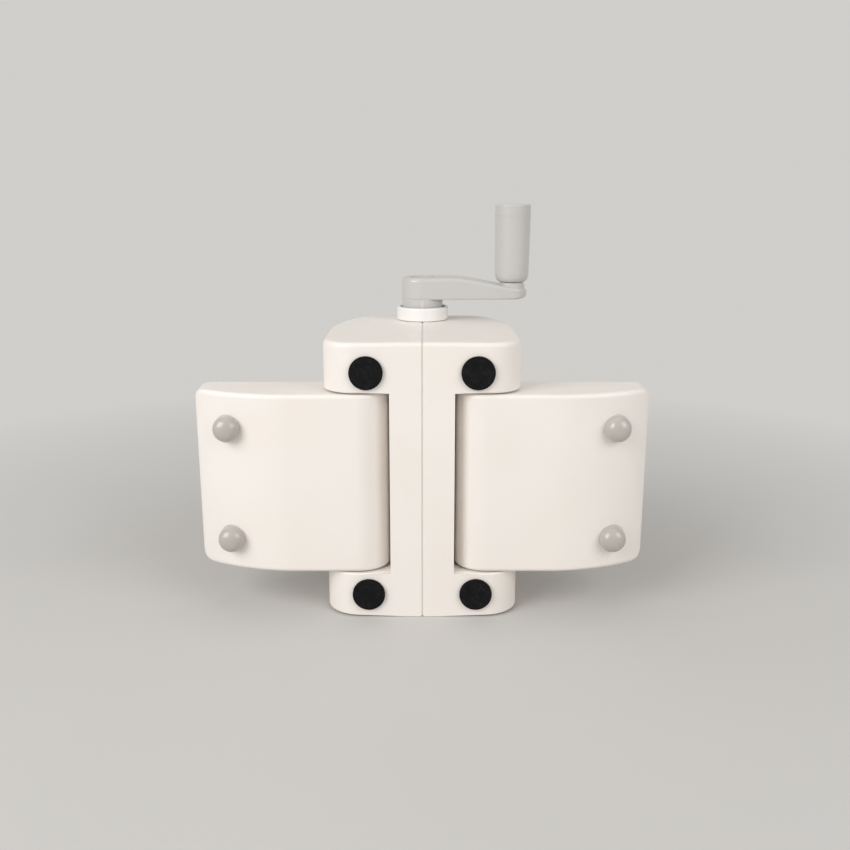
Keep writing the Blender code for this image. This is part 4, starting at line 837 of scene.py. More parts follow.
@dataclass
class BodyForm:
    """The outer form that the housing and the folded tables share."""

    upright: float = 57.0 * MM
    shoulder_width: float = 23.8 * MM
    shoulder_power: float = 1.6
    far_fillet: float = 0.6 * MM
    crank_fillet: float = 2.4 * MM
    end_flat_half: float = 10.0 * MM
    far_draft: float = 1.7 * MM
    crank_draft: float = 0.3 * MM
    side_round: float = 0.7
    side_round_power: int = 6
    corner_steps: int = 24
    side_steps: int = 36
    fillet_steps: int = 8

    def share(self, height: float) -> float:
        """How far up the round shoulder a height is, from 0 to 1."""
        return max((height - self.upright) / (BODY_HEIGHT - self.upright), 0)

    def lean(self, height: float) -> float:
        """How far the shoulder has come in at a height."""
        power = self.shoulder_power
        return self.shoulder_width * (1 - (1 - self.share(height) ** power) ** (1 / power))

    def slope(self, height: float) -> float:
        """How fast the shoulder comes in at a height."""
        power = self.shoulder_power
        share = self.share(height)
        bend = (1 - share ** power) ** (1 / power - 1)
        return self.shoulder_width / (BODY_HEIGHT - self.upright) * bend * share ** (power - 1)

    def side_heights(self, end: float) -> list[float]:
        """Heights along the shoulder up to an end, closer together where it bends more."""
        last = math.asin(self.share(end) ** (self.shoulder_power / 2))
        turns = [last * step / self.side_steps for step in range(self.side_steps + 1)]
        run = BODY_HEIGHT - self.upright
        return [self.upright + run * math.sin(turn) ** (2 / self.shoulder_power) for turn in turns]

    def outline(self, inset: float, seam_x: float) -> list[Point]:
        """Right half of the cross section.

        Args:
            inset: How far it is drawn in all round.
            seam_x: Where it ends at the seam.

        Returns:
            Its (x, height) points, from the seam along the underside to the top.
        """
        roof = BODY_HEIGHT - inset
        foot_x = BODY_HALF_WIDTH - self.shoulder_width
        points = [(seam_x, inset), (self.end_flat_half, inset)]
        points += arc(HINGE_X, HINGE_HEIGHT, HINGE_RADIUS - inset, -QUARTER_TURN, 0, self.corner_steps)
        for step in range(self.side_steps + 1):
            turn = QUARTER_TURN * step / self.side_steps
            over = max(math.cos(turn), 0) ** (2 / self.shoulder_power)
            up = math.sin(turn) ** (2 / self.shoulder_power)
            points.append((foot_x + (self.shoulder_width - inset) * over,
                           self.upright + (roof - self.upright) * up))
        return points + [(self.end_flat_half, roof), (seam_x, roof)]

    def draft(self, x: float, amount: float) -> float:
        """How far an end is drawn in at a place across the body."""
        return amount * max(x - self.end_flat_half, 0) / (BODY_HALF_WIDTH - self.end_flat_half)

    def stretch(self, x: float) -> float:
        """How much longer an end's round edge is, because it grows towards the side."""
        return 1 + self.side_round * (x / BODY_HALF_WIDTH) ** self.side_round_power

    def end_levels(self, fillet: float) -> list[Point]:
        """Inset and rise of each section of an end's round edge, from the end's face inwards."""
        if not fillet:
            return [(0.0, 0.0)]
        turns = [QUARTER_TURN * step / self.fillet_steps for step in range(self.fillet_steps + 1)]
        return [(fillet * (1 - math.sin(turn)), fillet * (1 - math.cos(turn))) for turn in turns]

    def half(self, name: str, side: Side, inset: float, seam_x: float,
             fillets: Point = (0.0, 0.0)) -> bpy.types.Object:
        """One half of the body as a block.

        Args:
            name: Name of the new piece.
            side: The side that it is for.
            inset: How far it is drawn in all round.
            seam_x: Where it ends at the seam.
            fillets: Radius of the round edge at the far end and at the crank's end.

        Returns:
            The closed block.
        """
        sections: list[list[Place]] = []
        for edge, rise in self.end_levels(fillets[0]):
            sections.append([(side.value * x, depth(height),
                              inset + rise + self.draft(x, self.far_draft))
                             for x, height in self.outline(inset + edge, seam_x)])
        top = BODY_LENGTH - inset
        for edge, rise in reversed(self.end_levels(fillets[1])):
            sections.append([(side.value * x, depth(height),
                              top - rise * self.stretch(x) - self.draft(x, self.crank_draft))
                             for x, height in self.outline(inset + edge, seam_x)])
        count = len(sections[0])
        return lofted(name, sections, [[0, 1, count - 2, count - 1], list(range(1, count - 1))])


@dataclass
class Housing:
    """Both halves of the moulded shell."""

    form: BodyForm
    wall: float = 2.4 * MM
    waist_half: float = 18.1 * MM
    notch_low: float = 27.0 * MM
    notch_high: float = 132.4 * MM
    window_heights: Point = (34.0 * MM, 55.0 * MM)
    window_ends: Point = (27.6 * MM, 131.8 * MM)
    seam_edge: float = 0.35 * MM
    tongue_inset: float = 0.5 * MM
    tongue_reach: float = 0.35 * MM
    shelf_edge: float = 1.2 * MM
    shelf_steps: int = 4
    waist_edge: float = 0.3 * MM
    edge_steps: int = 3
    collar_hole: float = 14.5 * MM
    collar_sides: int = 64
    rod_hole: float = 2.8 * MM
    hole_sides: int = 32
    recess_radius: float = 3.1 * MM
    recess_depth: float = 1.4 * MM
    screw_hole: float = 1.8 * MM
    screw_sides: int = 24

    def span(self, side: Side, near: float, far: float) -> list[float]:
        """The low and high X of a span on one side."""
        return sorted((side.value * near, side.value * far))

    def on_shelf(self, edge: bmesh.types.BMEdge) -> bool:
        """Whether an edge is where a notch's shelf meets the outer surface."""
        levels = (self.notch_low, self.notch_high)
        return is_sharp(edge) and any(all(abs(vert.co.z - level) < WELD for vert in edge.verts)
                                      for level in levels)

    def on_waist(self, edge: bmesh.types.BMEdge) -> bool:
        """Whether an edge is where the waist's side meets the outer surface."""
        return is_sharp(edge) and all(abs(abs(vert.co.x) - self.waist_half) < WELD
                                      for vert in edge.verts)

    def on_seam(self, edge: bmesh.types.BMEdge) -> bool:
        """Whether an edge runs round the face at the seam."""
        return is_sharp(edge) and all(abs(abs(vert.co.x) - SEAM_X) < WELD for vert in edge.verts)

    def build(self, side: Side) -> bpy.types.Object:
        """One half of the shell.

        Args:
            side: Which half.

        Returns:
            The dressed piece.
        """
        fillets = (self.form.far_fillet, self.form.crank_fillet)
        shell = self.form.half(side.word + "_shell", side, 0.0, SEAM_X, fillets)
        soften(shell, self.seam_edge, self.edge_steps, self.on_seam)
        if side is Side.LEFT:
            tongue = self.form.half("tongue", side, self.tongue_inset, -self.tongue_reach, fillets)
            carve(shell, tongue, Carve.ADD)
        reach = BODY_HALF_WIDTH + OVERRUN
        low_x, high_x = self.span(side, self.waist_half, reach)
        bottom = depth(-OVERRUN)
        top = depth(BODY_HEIGHT + OVERRUN)
        carve(shell, block((low_x, bottom, self.notch_low), (high_x, top, self.notch_high)))
        soften(shell, self.shelf_edge, self.shelf_steps, self.on_shelf)
        soften(shell, self.waist_edge, self.edge_steps, self.on_waist)
        hollow = self.form.half("hollow", side, self.wall, -OVERRUN)
        inner = self.waist_half - self.wall
        inner_low = self.notch_low - self.wall
        inner_high = self.notch_high + self.wall
        low_x, high_x = self.span(side, inner, reach)
        carve(hollow, block((low_x, bottom, inner_low), (high_x, top, inner_high)))
        carve(shell, hollow)
        low_x, high_x = self.span(side, inner - OVERRUN, self.waist_half + OVERRUN)
        carve(shell, block((low_x, depth(self.window_heights[0]), self.window_ends[0]),
                           (high_x, depth(self.window_heights[1]), self.window_ends[1])))
        drill(shell, self.collar_hole, CRANK_PLACE, BODY_LENGTH - self.wall - OVERRUN,
              BODY_LENGTH + OVERRUN, self.collar_sides)
        drill(shell, self.rod_hole, hinge_place(side), inner_low - OVERRUN, inner_high + OVERRUN,
              self.hole_sides)
        for word in ("far", "crank"):
            low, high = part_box(f"{word}_{side.word}_screw")
            middle = (low + high) / 2
            start = Vector((middle.x, bottom, middle.z))
            recess = start + Vector((0, OVERRUN + self.recess_depth, 0))
            carve(shell, rod(self.recess_radius, start, recess, self.hole_sides))
            inside = start + Vector((0, self.wall + 2 * OVERRUN, 0))
            carve(shell, rod(self.screw_hole, start, inside, self.screw_sides))
        return complete(shell, Slot.IVORY, Body.ROOT, [side.word + "_housing"])


@dataclass
class Collar:
    """The white ring that the crank's neck stands in."""

    rim: float = 1.1 * MM
    lip_edge: float = 0.5 * MM
    seat_gap: float = 0.3 * MM
    seat_edge: float = 0.3 * MM
    spigot_edge: float = 0.4 * MM
    floor_edge: float = 0.6 * MM
    floor_drop: float = 5.9 * MM
    cup_radius: float = 13.9 * MM
    spigot_radius: float = 14.2 * MM
    bore: float = 7.6 * MM
    sides: int = 128

    def build(self) -> bpy.types.Object:
        """The ring, turned in one piece."""
        low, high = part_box("crank_collar")
        radius = high.x
        seat = BODY_LENGTH + self.seat_gap
        floor = high.z - self.floor_drop
        outline = rounded([
            (self.cup_radius, high.z, self.lip_edge), (radius, high.z, self.rim),
            (radius, seat, self.seat_edge), (self.spigot_radius, seat, 0),
            (self.spigot_radius, low.z, self.spigot_edge), (self.bore, low.z, 0),
            (self.bore, floor, 0), (self.cup_radius, floor, self.floor_edge)])
        ring = spun("collar_ring", outline, CRANK_PLACE, self.sides)
        return complete(ring, Slot.WHITE, Body.ROOT, ["crank_collar"])


@dataclass
class CrankArm:
    """The crank's arm with its hub, neck, thin end and the boss under the grip."""

    hub_radius: float = 13.0 * MM
    tip_radius: float = 9.5 * MM
    neck_radius: float = 12.7 * MM
    hub_height: float = 13.3 * MM
    tip_height: float = 7.3 * MM
    fall_start: float = 17.0 * MM
    fall_end: float = 63.0 * MM
    top_edge: float = 2.4 * MM
    bottom_edge: float = 1.2 * MM
    tip_draw: float = 0.3
    boss_radius: float = 8.3 * MM
    boss_root: float = 1.5 * MM
    boss_rise: float = 1.3 * MM
    boss_edge: float = 0.5 * MM
    washer_radius: float = 7.6 * MM
    washer_rise: float = 2.8 * MM
    washer_foot: float = 0.2 * MM
    washer_edge: float = 0.4 * MM
    neck_edge: float = 0.6 * MM
    cap_gap: float = 0.3 * MM
    pocket_depth: float = 2.2 * MM
    shaft_hole: float = 5.3 * MM
    shaft_hole_sides: int = 48
    spindle_hole: float = 3.3 * MM
    spindle_hole_sides: int = 40
    slices: int = 20
    hub_steps: int = 40
    tip_steps: int = 32
    edge_steps: int = 7
    corner_steps: int = 4
    sides: int = 96

    def top(self, x: float, low: float) -> float:
        """Z of the top face at a distance from the crank's axis: a smooth fall to the tip."""
        share = min(max((x - self.fall_start) / (self.fall_end - self.fall_start), 0), 1)
        ease = share * share * (3 - 2 * share)
        return low + self.hub_height + (self.tip_height - self.hub_height) * ease

    def plan(self, inset: float) -> list[Point]:
        """The arm's outline from above, drawn in by an inset."""
        hub = arc(0, 0, self.hub_radius - inset, QUARTER_TURN, 3 * QUARTER_TURN, self.hub_steps)
        tip = arc(GRIP_PLACE.x, 0, self.tip_radius - inset, -QUARTER_TURN, QUARTER_TURN,
                  self.tip_steps)
        return hub + tip

    def layers(self) -> list[Point]:
        """Inset of each layer of the arm and its height above the underside."""
        turns = [QUARTER_TURN * step / self.edge_steps for step in range(self.edge_steps + 1)]
        lower = [(self.bottom_edge * (1 - math.sin(turn)), self.bottom_edge * (1 - math.cos(turn)))
                 for turn in turns]
        upper = [(self.top_edge * (1 - math.cos(turn)),
                  self.hub_height - self.top_edge * (1 - math.sin(turn))) for turn in turns]
        return lower + upper

    def shaped(self, low: float) -> bpy.types.Object:
        """The arm's body with its round rims, its falling top and its blunt nose.

        Args:
            low: Z of its underside.

        Returns:
            The body, without neck, boss and holes.
        """
        sections = [[(x, CRANK_PLACE.y + y, low + height) for x, y in self.plan(inset)]
                    for inset, height in self.layers()]
        arm = lofted("arm", sections)
        with editing(arm):
            for index in range(self.slices + 1):
                x = self.fall_start + (self.fall_end - self.fall_start) * index / self.slices
                bpy.ops.mesh.select_all(action="SELECT")
                bpy.ops.mesh.bisect(plane_co=(x, 0, 0), plane_no=(1, 0, 0), threshold=WELD)
        middle = low + self.tip_height / 2
        for vertex in arm.data.vertices:
            if vertex.co.z > low + self.bottom_edge + WELD:
                vertex.co.z -= low + self.hub_height - self.top(vertex.co.x, low)
            out = max((vertex.co.x - GRIP_PLACE.x) / self.tip_radius, 0)
            vertex.co.z += (middle - vertex.co.z) * self.tip_draw * out ** 2
        return arm

    def build(self) -> bpy.types.Object:
        """The arm, carved and rounded."""
        box_low, box_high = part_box("crank_arm")
        hub_top = box_high.z
        low = hub_top - self.hub_height
        arm = self.shaped(low)
        tip_top = low + self.tip_height
        boss_low = tip_top - self.boss_root
        boss_top = tip_top + self.boss_rise
        washer_top = tip_top + self.washer_rise
        boss = rounded([(0, boss_low, 0), (self.boss_radius, boss_low, 0),
                        (self.boss_radius, boss_top, self.boss_edge),
                        (self.washer_radius, boss_top, self.washer_foot),
                        (self.washer_radius, washer_top, self.washer_edge), (0, washer_top, 0)],
                       self.corner_steps)
        carve(arm, spun("boss", boss, GRIP_PLACE, self.sides), Carve.ADD)
        neck_top = low + OVERRUN
        neck = rounded([(0, box_low.z, 0), (self.neck_radius, box_low.z, self.neck_edge),
                        (self.neck_radius, neck_top, 0), (0, neck_top, 0)], self.corner_steps)
        carve(arm, spun("neck", neck, CRANK_PLACE, self.sides), Carve.ADD)
        cap_low, cap_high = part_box("crank_cap")
        floor = cap_low.z - self.pocket_depth
        pocket_radius = cap_high.x + self.cap_gap
        above = hub_top + OVERRUN
        pocket = [(0, floor), (pocket_radius, floor), (pocket_radius, above), (0, above)]
        carve(arm, spun("pocket", pocket, CRANK_PLACE, self.sides))
        drill(arm, self.shaft_hole, CRANK_PLACE, box_low.z - OVERRUN, cap_low.z - OVERRUN,
              self.shaft_hole_sides)
        drill(arm, self.spindle_hole, GRIP_PLACE, low - OVERRUN, tip_top + 4 * OVERRUN,
              self.spindle_hole_sides)
        return complete(arm, Slot.GREY, Body.CRANK, ["crank_arm"])


@dataclass
class CrankCap:
    """The round cap on the hub, its face a little dished."""

    edge: float = 0.35 * MM
    rim: float = 1.0 * MM
    rim_edge: float = 0.5 * MM
    dish: float = 0.35 * MM
    dish_edge: float = 0.8 * MM
    corner_steps: int = 4
    sides: int = 96

    def build(self) -> bpy.types.Object:
        """The cap, turned in one piece."""
        low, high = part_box("crank_cap")
        radius = high.x
        floor = high.z - self.dish
        outline = rounded([(0, low.z, 0), (radius, low.z, 0), (radius, high.z, self.edge),
                           (radius - self.rim, high.z, self.rim_edge),
                           (radius - 2 * self.rim, floor, self.dish_edge), (0, floor, 0)],
                          self.corner_steps)
        cap = spun("arm_cap", outline, CRANK_PLACE, self.sides)
        return complete(cap, Slot.GREY, Body.CRANK, ["crank_cap"])


@dataclass
class Grip:
    """The turning grip and the cap that closes its top."""

    foot_inset: float = 2.8 * MM
    foot_rise: float = 6.0 * MM
    taper: float = 0.4 * MM
    bore: float = 4.3 * MM
    inside: float = 6.5 * MM
    seat_height: float = 4.5 * MM
    ring_edge: float = 0.12 * MM
    ring_gap: float = 0.02 * MM
    ring_steps: int = 5
    spigot_gap: float = 0.3 * MM
    top_bevel: float = 0.8 * MM
    lid_edge: float = 0.5 * MM
    lid_steps: int = 4
    sides: int = 128
    foot_steps: int = 14

    def build(self) -> list[bpy.types.Object]:
        """The grip's body and its cap."""
        low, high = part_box("handle_grip")
        cap_low, cap_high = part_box("grip_cap")
        top_radius = cap_high.x - GRIP_PLACE.x
        foot_radius = top_radius - self.taper
        split = high.x - GRIP_PLACE.x
        turns = [QUARTER_TURN * step / self.foot_steps for step in range(self.foot_steps + 1)]
        foot = [(foot_radius - self.foot_inset * (1 - math.sin(turn)),
                 low.z + self.foot_rise * (1 - math.cos(turn))) for turn in turns]
        body = [(self.bore, low.z)] + foot
        ring = [(*foot[-1], 0), (split, high.z, self.ring_edge), (self.inside, high.z, 0)]
        body += rounded(ring, self.ring_steps)[1:]
        seat = low.z + self.seat_height
        body += [(self.inside, seat), (self.bore, seat)]
        shaft = spun("grip_body", body, GRIP_PLACE, self.sides)
        lid_seat = high.z + self.ring_gap
        spigot = self.inside - self.spigot_gap
        lid = rounded([(0, cap_low.z, 0), (spigot, cap_low.z, 0), (spigot, lid_seat, 0),
                       (split, lid_seat, self.ring_edge),
                       (top_radius, cap_high.z - self.top_bevel, self.lid_edge),
                       (top_radius - self.top_bevel, cap_high.z, self.lid_edge),
                       (0, cap_high.z, 0)], self.lid_steps)
        cap = spun("grip_lid", lid, GRIP_PLACE, self.sides)
        return [complete(shaft, Slot.GREY, Body.GRIP, ["handle_grip"]),
                complete(cap, Slot.GREY, Body.GRIP, ["grip_cap"])]


@dataclass
class Wing:
    """One folding side table: its shell, its table plate and its two feet."""

    form: BodyForm
    edge_fillet: float = 2.2 * MM
    edge_growth: float = 0.9
    corner_growth: float = 0.7
    growth_power: int = 8
    corner: float = 5.2 * MM
    lower_fillet: float = 7.0 * MM
    upper_fillet: float = 0.8 * MM
    plate_thick: float = 2.2 * MM
    plate_start: float = 3.0 * MM
    plate_rim: float = 1.4 * MM
    plate_corner: float = 3.0 * MM
    plate_gap: float = 0.3 * MM
    plate_steps: int = 8
    plate_edge: float = 0.3 * MM
    plate_edge_steps: int = 3
    rod_hole: float = 2.8 * MM
    hole_sides: int = 32
    barrel_steps: int = 48
    fillet_steps: int = 7
    meet_rounds: int = 30

    def outline(self, edge: float, end: float) -> list[Point]:
        """Cross section from the hinge axis outwards.

        Args:
            edge: How far it is drawn in everywhere but at the table's side.
            end: Where it ends, before it is drawn in.

        Returns:
            Its (x, y) points about the hinge axis.
        """
        bottom = edge - HINGE_RADIUS
        reach = end - edge
        meet = reach
        for _ in range(self.meet_rounds):
            slope = self.form.slope(meet + HINGE_RADIUS)
            meet = reach - self.lower_fillet * (1 - slope / math.hypot(1, slope))
        points: list[Point] = []
        for step in range(self.barrel_steps + 1):
            turn = QUARTER_TURN + math.pi * step / self.barrel_steps
            barrel = HINGE_RADIUS - edge * (1 - math.sin(turn)) / 2
            points.append((barrel * math.cos(turn), barrel * math.sin(turn)))
        for height in self.form.side_heights(meet + HINGE_RADIUS):
            points.append((height - HINGE_RADIUS, bottom + self.form.lean(height)))
        start = math.atan2(-1, self.form.slope(meet + HINGE_RADIUS))
        centre_y = points[-1][1] - self.lower_fillet * math.sin(start)
        points += arc(reach - self.lower_fillet, centre_y, self.lower_fillet, start, 0,
                      self.fillet_steps)[1:]
        corner = self.upper_fillet
        return points + arc(reach - corner, HINGE_RADIUS - corner, corner, 0, QUARTER_TURN,
                            self.fillet_steps)

    def section(self, hinge: Vector, side: Side, edge: float, rise: float, start: float,
                way: int) -> list[Place]:
        """A section of the wing, rounder at its outer corner the nearer it is to the underside.

        Args:
            hinge: A point on the hinge axis.
            side: The wing's side.
            edge: How far the section is drawn in.
            rise: How far it lies from the wing's side face.
            start: Z of that side face.
            way: 1 where the wing lies above that face, -1 where it lies below.

        Returns:
            The section's places.
        """
        end = self.end_at(rise)
        places = []
        for x, y in self.outline(edge, end):
            down = (HINGE_RADIUS - y) / (2 * HINGE_RADIUS)
            out = max(x / WING_LENGTH, 0) ** self.growth_power
            further = self.corner_growth * out * (0.5 - down) * (WING_LENGTH - end)
            lift = rise * (1 + self.edge_growth * out * down)
            places.append((hinge.x + side.value * (x + further), hinge.y + y, start + way * lift))
        return places

    def end_at(self, rise: float) -> float:
        """Where the wing ends at a distance from its side, because its outer corners are round."""
        short = max(self.corner - rise, 0)
        return WING_LENGTH - (self.corner - math.sqrt(self.corner ** 2 - short ** 2))

    def levels(self) -> list[Point]:
        """Inset and rise of each section from a side of the wing to where it is straight."""
        steps = self.fillet_steps
        fillet = self.edge_fillet
        angles = [QUARTER_TURN * step / steps for step in range(steps + 1)]
        made = [(fillet * (1 - math.sin(angle)), fillet * (1 - math.cos(angle))) for angle in angles]
        run = self.corner - fillet
        return made + [(0.0, fillet + run * step / steps) for step in range(1, steps + 1)]

    def plate_outline(self, gap: float) -> list[Point]:
        """(x, z) corners of the table plate, with round corners at the outer end."""
        start = self.plate_start - gap
        end = WING_LENGTH - self.plate_rim + gap
        low = WING_LOW + self.plate_rim - gap
        high = WING_HIGH - self.plate_rim + gap
        return rounded([(start, low, 0), (end, low, self.plate_corner), (end, high, self.plate_corner),
                        (start, high, 0)], self.plate_steps)

    def plate(self, name: str, side: Side, gap: float, low: float, high: float) -> bpy.types.Object:
        """The table plate, or with a gap the recess that it lies in."""
        x = side.value * HINGE_X
        sections = [[(x + side.value * out, y, z) for out, z in self.plate_outline(gap)]
                    for y in (low, high)]
        return lofted(name, sections)

    def build(self, side: Side) -> list[bpy.types.Object]:
        """The wing's pieces.

        Args:
            side: Which wing.

        Returns:
            The shell, the table plate and the feet.
        """
        hinge = hinge_place(side)
        sections = [self.section(hinge, side, edge, rise, WING_LOW, 1) for edge, rise in self.levels()]
        sections += [self.section(hinge, side, edge, rise, WING_HIGH, -1)
                     for edge, rise in reversed(self.levels())]
        shell = lofted(side.word + "_wing_body", sections)
        top = hinge.y + HINGE_RADIUS
        floor = top - self.plate_thick - self.plate_gap
        carve(shell, self.plate("recess", side, self.plate_gap, floor, top + OVERRUN))
        drill(shell, self.rod_hole, hinge, WING_LOW - OVERRUN, WING_HIGH + OVERRUN, self.hole_sides)
        plate = self.plate(side.word + "_wing_top", side, 0.0, top - self.plate_thick, top)
        soften(plate, self.plate_edge, self.plate_edge_steps)
        made = [complete(shell, Slot.IVORY, side.wing, [side.word + "_wing_shell"]),
                complete(plate, Slot.IVORY, side.wing, [side.word + "_wing_table"])]
        for word in ("far", "crank"):
            made.append(Foot().build(self, side, word))
        return made


@dataclass
class Foot:
    """A domed rubber foot that fits the curved underside of a wing."""

    radius: float = 7.5 * MM
    root: float = 14 * MM
    crown: float = 6.3 * MM
    crown_power: float = 2.3
    seat_gap: float = 0.05 * MM
    steps: int = 20
    sides: int = 72

    def build(self, wing: Wing, side: Side, word: str) -> bpy.types.Object:
        """One foot.

        Args:
            wing: The wing that it sits under.
            side: The wing's side.
            word: Which foot, far or crank.

        Returns:
            The dressed piece.
        """
        node = f"{side.word}_wing_{word}_foot"
        low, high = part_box(node)
        centre = Vector(((low.x + high.x) / 2, 0, (low.z + high.z) / 2))
        outline = [(0.0, low.y + self.root), (self.radius, low.y + self.root)]
        for step in range(self.steps + 1):
            turn = QUARTER_TURN * step / self.steps
            out = self.radius * max(math.cos(turn), 0) ** (2 / self.crown_power)
            up = self.crown * (1 - math.sin(turn) ** (2 / self.crown_power))
            outline.append((out, low.y + up))
        foot = spun(node.replace("_foot", "_knob"), outline, centre, self.sides, Spindle.UP)
        hinge = hinge_place(side)
        span = 2 * self.radius
        sections = [[(hinge.x + side.value * x, hinge.y + y, z)
                     for x, y in wing.outline(-self.seat_gap, WING_LENGTH)]
                    for z in (centre.z - span, centre.z + span)]
        carve(foot, lofted("seat", sections))
        return complete(foot, Slot.RUBBER, side.wing, [node])


@dataclass
class Pads:
    """The four round foam pads under the body."""

    edge: float = 0.6 * MM
    back_edge: float = 0.2 * MM
    corner_steps: int = 5
    sides: int = 96

    def build(self) -> list[bpy.types.Object]:
        """All four pads."""
        made = []
        for place in ("far_left", "far_right", "crank_left", "crank_right"):
            node = place + "_pad"
            low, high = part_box(node)
            radius = (high.x - low.x) / 2
            outline = rounded([(0, high.y, 0), (radius, high.y, self.back_edge),
                               (radius, low.y, self.edge), (radius / 2, low.y, 0), (0, low.y, 0)],
                              self.corner_steps)
            pad = spun(place + "_foam", outline, (low + high) / 2, self.sides, Spindle.UP)
            made.append(complete(pad, Slot.FELT, Body.ROOT, [node]))
        return made


@dataclass
class Rollers:
    """Both steel rollers, which show through the window of the plate slot."""

    edge: float = 0.6 * MM
    edge_steps: int = 4
    bore: float = 5.3 * MM
    sides: int = 96

    def build(self) -> list[bpy.types.Object]:
        """Both rollers."""
        made = []
        for word, body in (("upper", Body.UPPER_ROLLER), ("lower", Body.LOWER_ROLLER)):
            node = word + "_roller"
            low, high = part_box(node)
            radius = (high.x - low.x) / 2
            outline = rounded([(self.bore, low.z, 0), (radius, low.z, self.edge),
                               (radius, high.z, self.edge), (self.bore, high.z, 0)],
                              self.edge_steps)
            roller = spun(word + "_drum", outline, joint_place(word + "_roller_turn"), self.sides)
            made.append(complete(roller, Slot.BRIGHT_STEEL, body, [node]))
        return made


@dataclass
class Workings:
    """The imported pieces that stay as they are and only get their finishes."""

    def dress(self) -> None:
        """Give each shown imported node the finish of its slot."""
        slots = {item["node"]: item["material_slot"] for item in frame["record"]["subparts"]}
        for name, node in frame["nodes"].items():
            if node.hide_render:
                continue
            material = FINISHES[Slot(slots[name])].material()
            for place in node.material_slots:
                place.material = material
            log.info("%s: packed piece in %s", name, material.name)


@dataclass(frozen=True)
class Lamp:
    """A square soft light, with the length of its sides and its power in watts."""

    name: str
    place: Place
    size: float
    power: float

    def hang(self, target: Vector) -> None:
        """Hang the lamp and point it at a target."""
        bpy.ops.object.light_add(type="AREA", location=self.place)
        lamp = bpy.context.object
        lamp.name = self.name
        lamp.data.size = self.size
        lamp.data.energy = self.power
        lamp.rotation_euler = (target - Vector(self.place)).to_track_quat("-Z", "Y").to_euler()


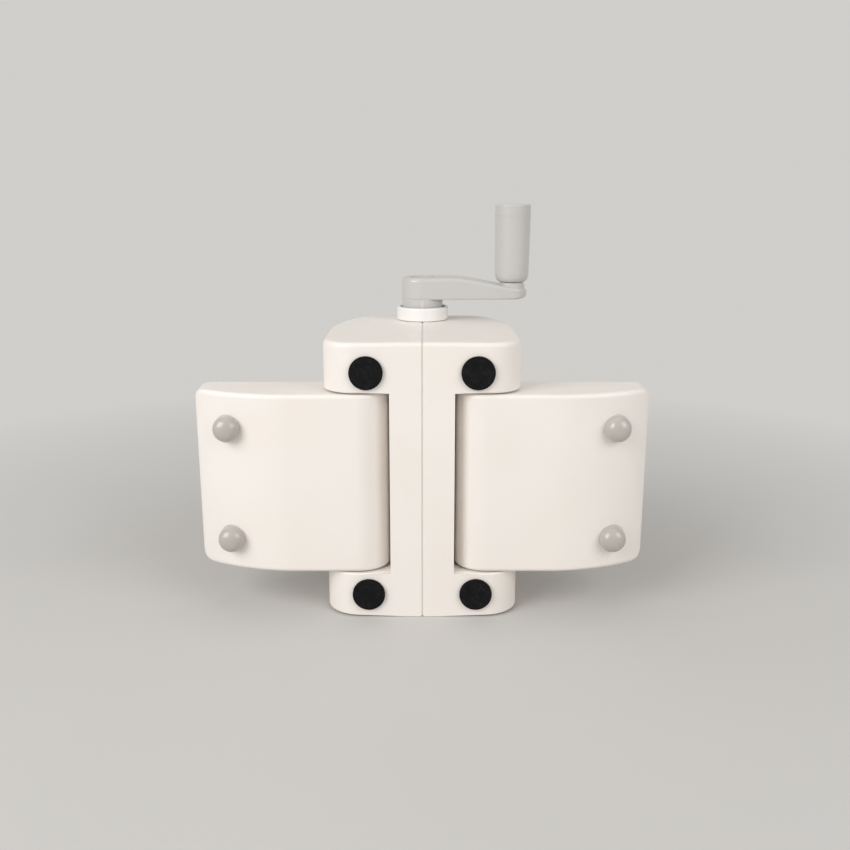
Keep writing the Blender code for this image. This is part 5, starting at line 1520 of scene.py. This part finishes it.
@dataclass
class Studio:
    """Floor, lights and camera."""

    camera_place: Place = (0.0016, -0.5623, 0.2437)
    camera_pitch: float = math.radians(75.75)
    lens: float = 40.24
    sensor_width: float = 36.0
    nearest: float = 0.01
    floor_radius: float = 6.0
    floor_sides: int = 128
    floor_colour: Colour = (0.60, 0.585, 0.565)
    floor_shade: float = 0.985
    floor_patches: float = 9.0
    floor_detail: float = 2.0
    floor_levels: Point = (0.3, 0.7)
    floor_roughness: float = 0.9
    sky_colour: Colour = (0.63, 0.62, 0.60)
    sky_light: float = 0.36
    fade_start: float = 0.14
    fade_end: float = 0.6
    target: Place = (0.0, 0.0, 0.09)
    lamps: tuple[Lamp, ...] = (
        Lamp("left_lamp", (-0.95, -0.85, 0.75), 0.9, 13.0),
        Lamp("right_lamp", (0.95, -0.85, 0.75), 0.9, 7.4),
        Lamp("top_lamp", (0.0, 0.2, 1.4), 1.2, 2.4),
    )

    def build(self) -> None:
        """Set up the whole studio."""
        self.add_floor()
        self.add_world()
        for lamp in self.lamps:
            lamp.hang(Vector(self.target))
        self.add_camera()
        bpy.context.scene.view_settings.view_transform = "Standard"

    def add_floor(self) -> None:
        """A wide pale floor that fades into the background far away."""
        bpy.ops.mesh.primitive_circle_add(vertices=self.floor_sides, radius=self.floor_radius,
                                          fill_type="NGON")
        floor = bpy.context.object
        floor.name = "studio_floor"
        material, graph, shader = new_material("studio_paper")
        drift = graph.noise(self.floor_patches, self.floor_detail)
        darker = tuple(self.floor_shade * part for part in self.floor_colour)
        paper = graph.blend(graph.spread(drift, *self.floor_levels), self.floor_colour, darker)
        graph.link(paper, shader.inputs["Base Color"])
        shader.inputs["Roughness"].default_value = self.floor_roughness
        far = graph.node("ShaderNodeEmission")
        far.inputs["Color"].default_value = (*self.sky_colour, 1)
        place = graph.node("ShaderNodeTexCoord")
        away = graph.node("ShaderNodeVectorMath", operation="LENGTH")
        graph.link(place.outputs["Object"], away.inputs[0])
        share = graph.spread(away.outputs["Value"], self.fade_start, self.fade_end)
        mix = graph.node("ShaderNodeMixShader")
        graph.link(graph.number("MULTIPLY", share, self.seen_share(graph)), mix.inputs[0])
        graph.link(shader.outputs[0], mix.inputs[1])
        graph.link(far.outputs[0], mix.inputs[2])
        output = material.node_tree.nodes["Material Output"]
        graph.link(mix.outputs[0], output.inputs["Surface"])
        floor.data.materials.append(material)

    def seen_share(self, graph: Graph) -> bpy.types.NodeSocket:
        """1 for a ray that shows the background directly, mirrored or through something."""
        rays = graph.node("ShaderNodeLightPath")
        direct = graph.number("MAXIMUM", rays.outputs["Is Camera Ray"], rays.outputs["Is Glossy Ray"])
        return graph.number("MAXIMUM", direct, rays.outputs["Is Transmission Ray"])

    def add_world(self) -> None:
        """Even light from all round, and the pale background that the camera sees."""
        world = bpy.data.worlds.new("studio")
        bpy.context.scene.world = world
        world.use_nodes = True
        graph = Graph(world.node_tree)
        light = world.node_tree.nodes["Background"]
        light.inputs["Color"].default_value = (*self.sky_colour, 1)
        light.inputs["Strength"].default_value = self.sky_light / self.sky_colour[0]
        seen = graph.node("ShaderNodeBackground")
        seen.inputs["Color"].default_value = (*self.sky_colour, 1)
        seen.inputs["Strength"].default_value = 1.0
        mix = graph.node("ShaderNodeMixShader")
        graph.link(self.seen_share(graph), mix.inputs[0])
        graph.link(light.outputs[0], mix.inputs[1])
        graph.link(seen.outputs[0], mix.inputs[2])
        graph.link(mix.outputs[0], world.node_tree.nodes["World Output"].inputs["Surface"])

    def add_camera(self) -> None:
        """The camera at the viewing angle of the picture."""
        bpy.ops.object.camera_add(location=self.camera_place,
                                  rotation=Euler((self.camera_pitch, 0, 0)))
        camera = bpy.context.object
        camera.name = "studio_camera"
        camera.data.lens = self.lens
        camera.data.sensor_width = self.sensor_width
        camera.data.clip_start = self.nearest
        bpy.context.scene.camera = camera


def main() -> None:
    """Build the dressed machine and its studio."""
    logging.basicConfig(level=logging.INFO, format="%(message)s")
    bpy.ops.object.select_all(action="DESELECT")
    form = BodyForm()
    housing = Housing(form)
    wing = Wing(form)
    for side in Side:
        housing.build(side)
        wing.build(side)
    Collar().build()
    CrankArm().build()
    CrankCap().build()
    Grip().build()
    Pads().build()
    Rollers().build()
    Workings().dress()
    Studio().build()


if __name__ == "__main__":
    main()
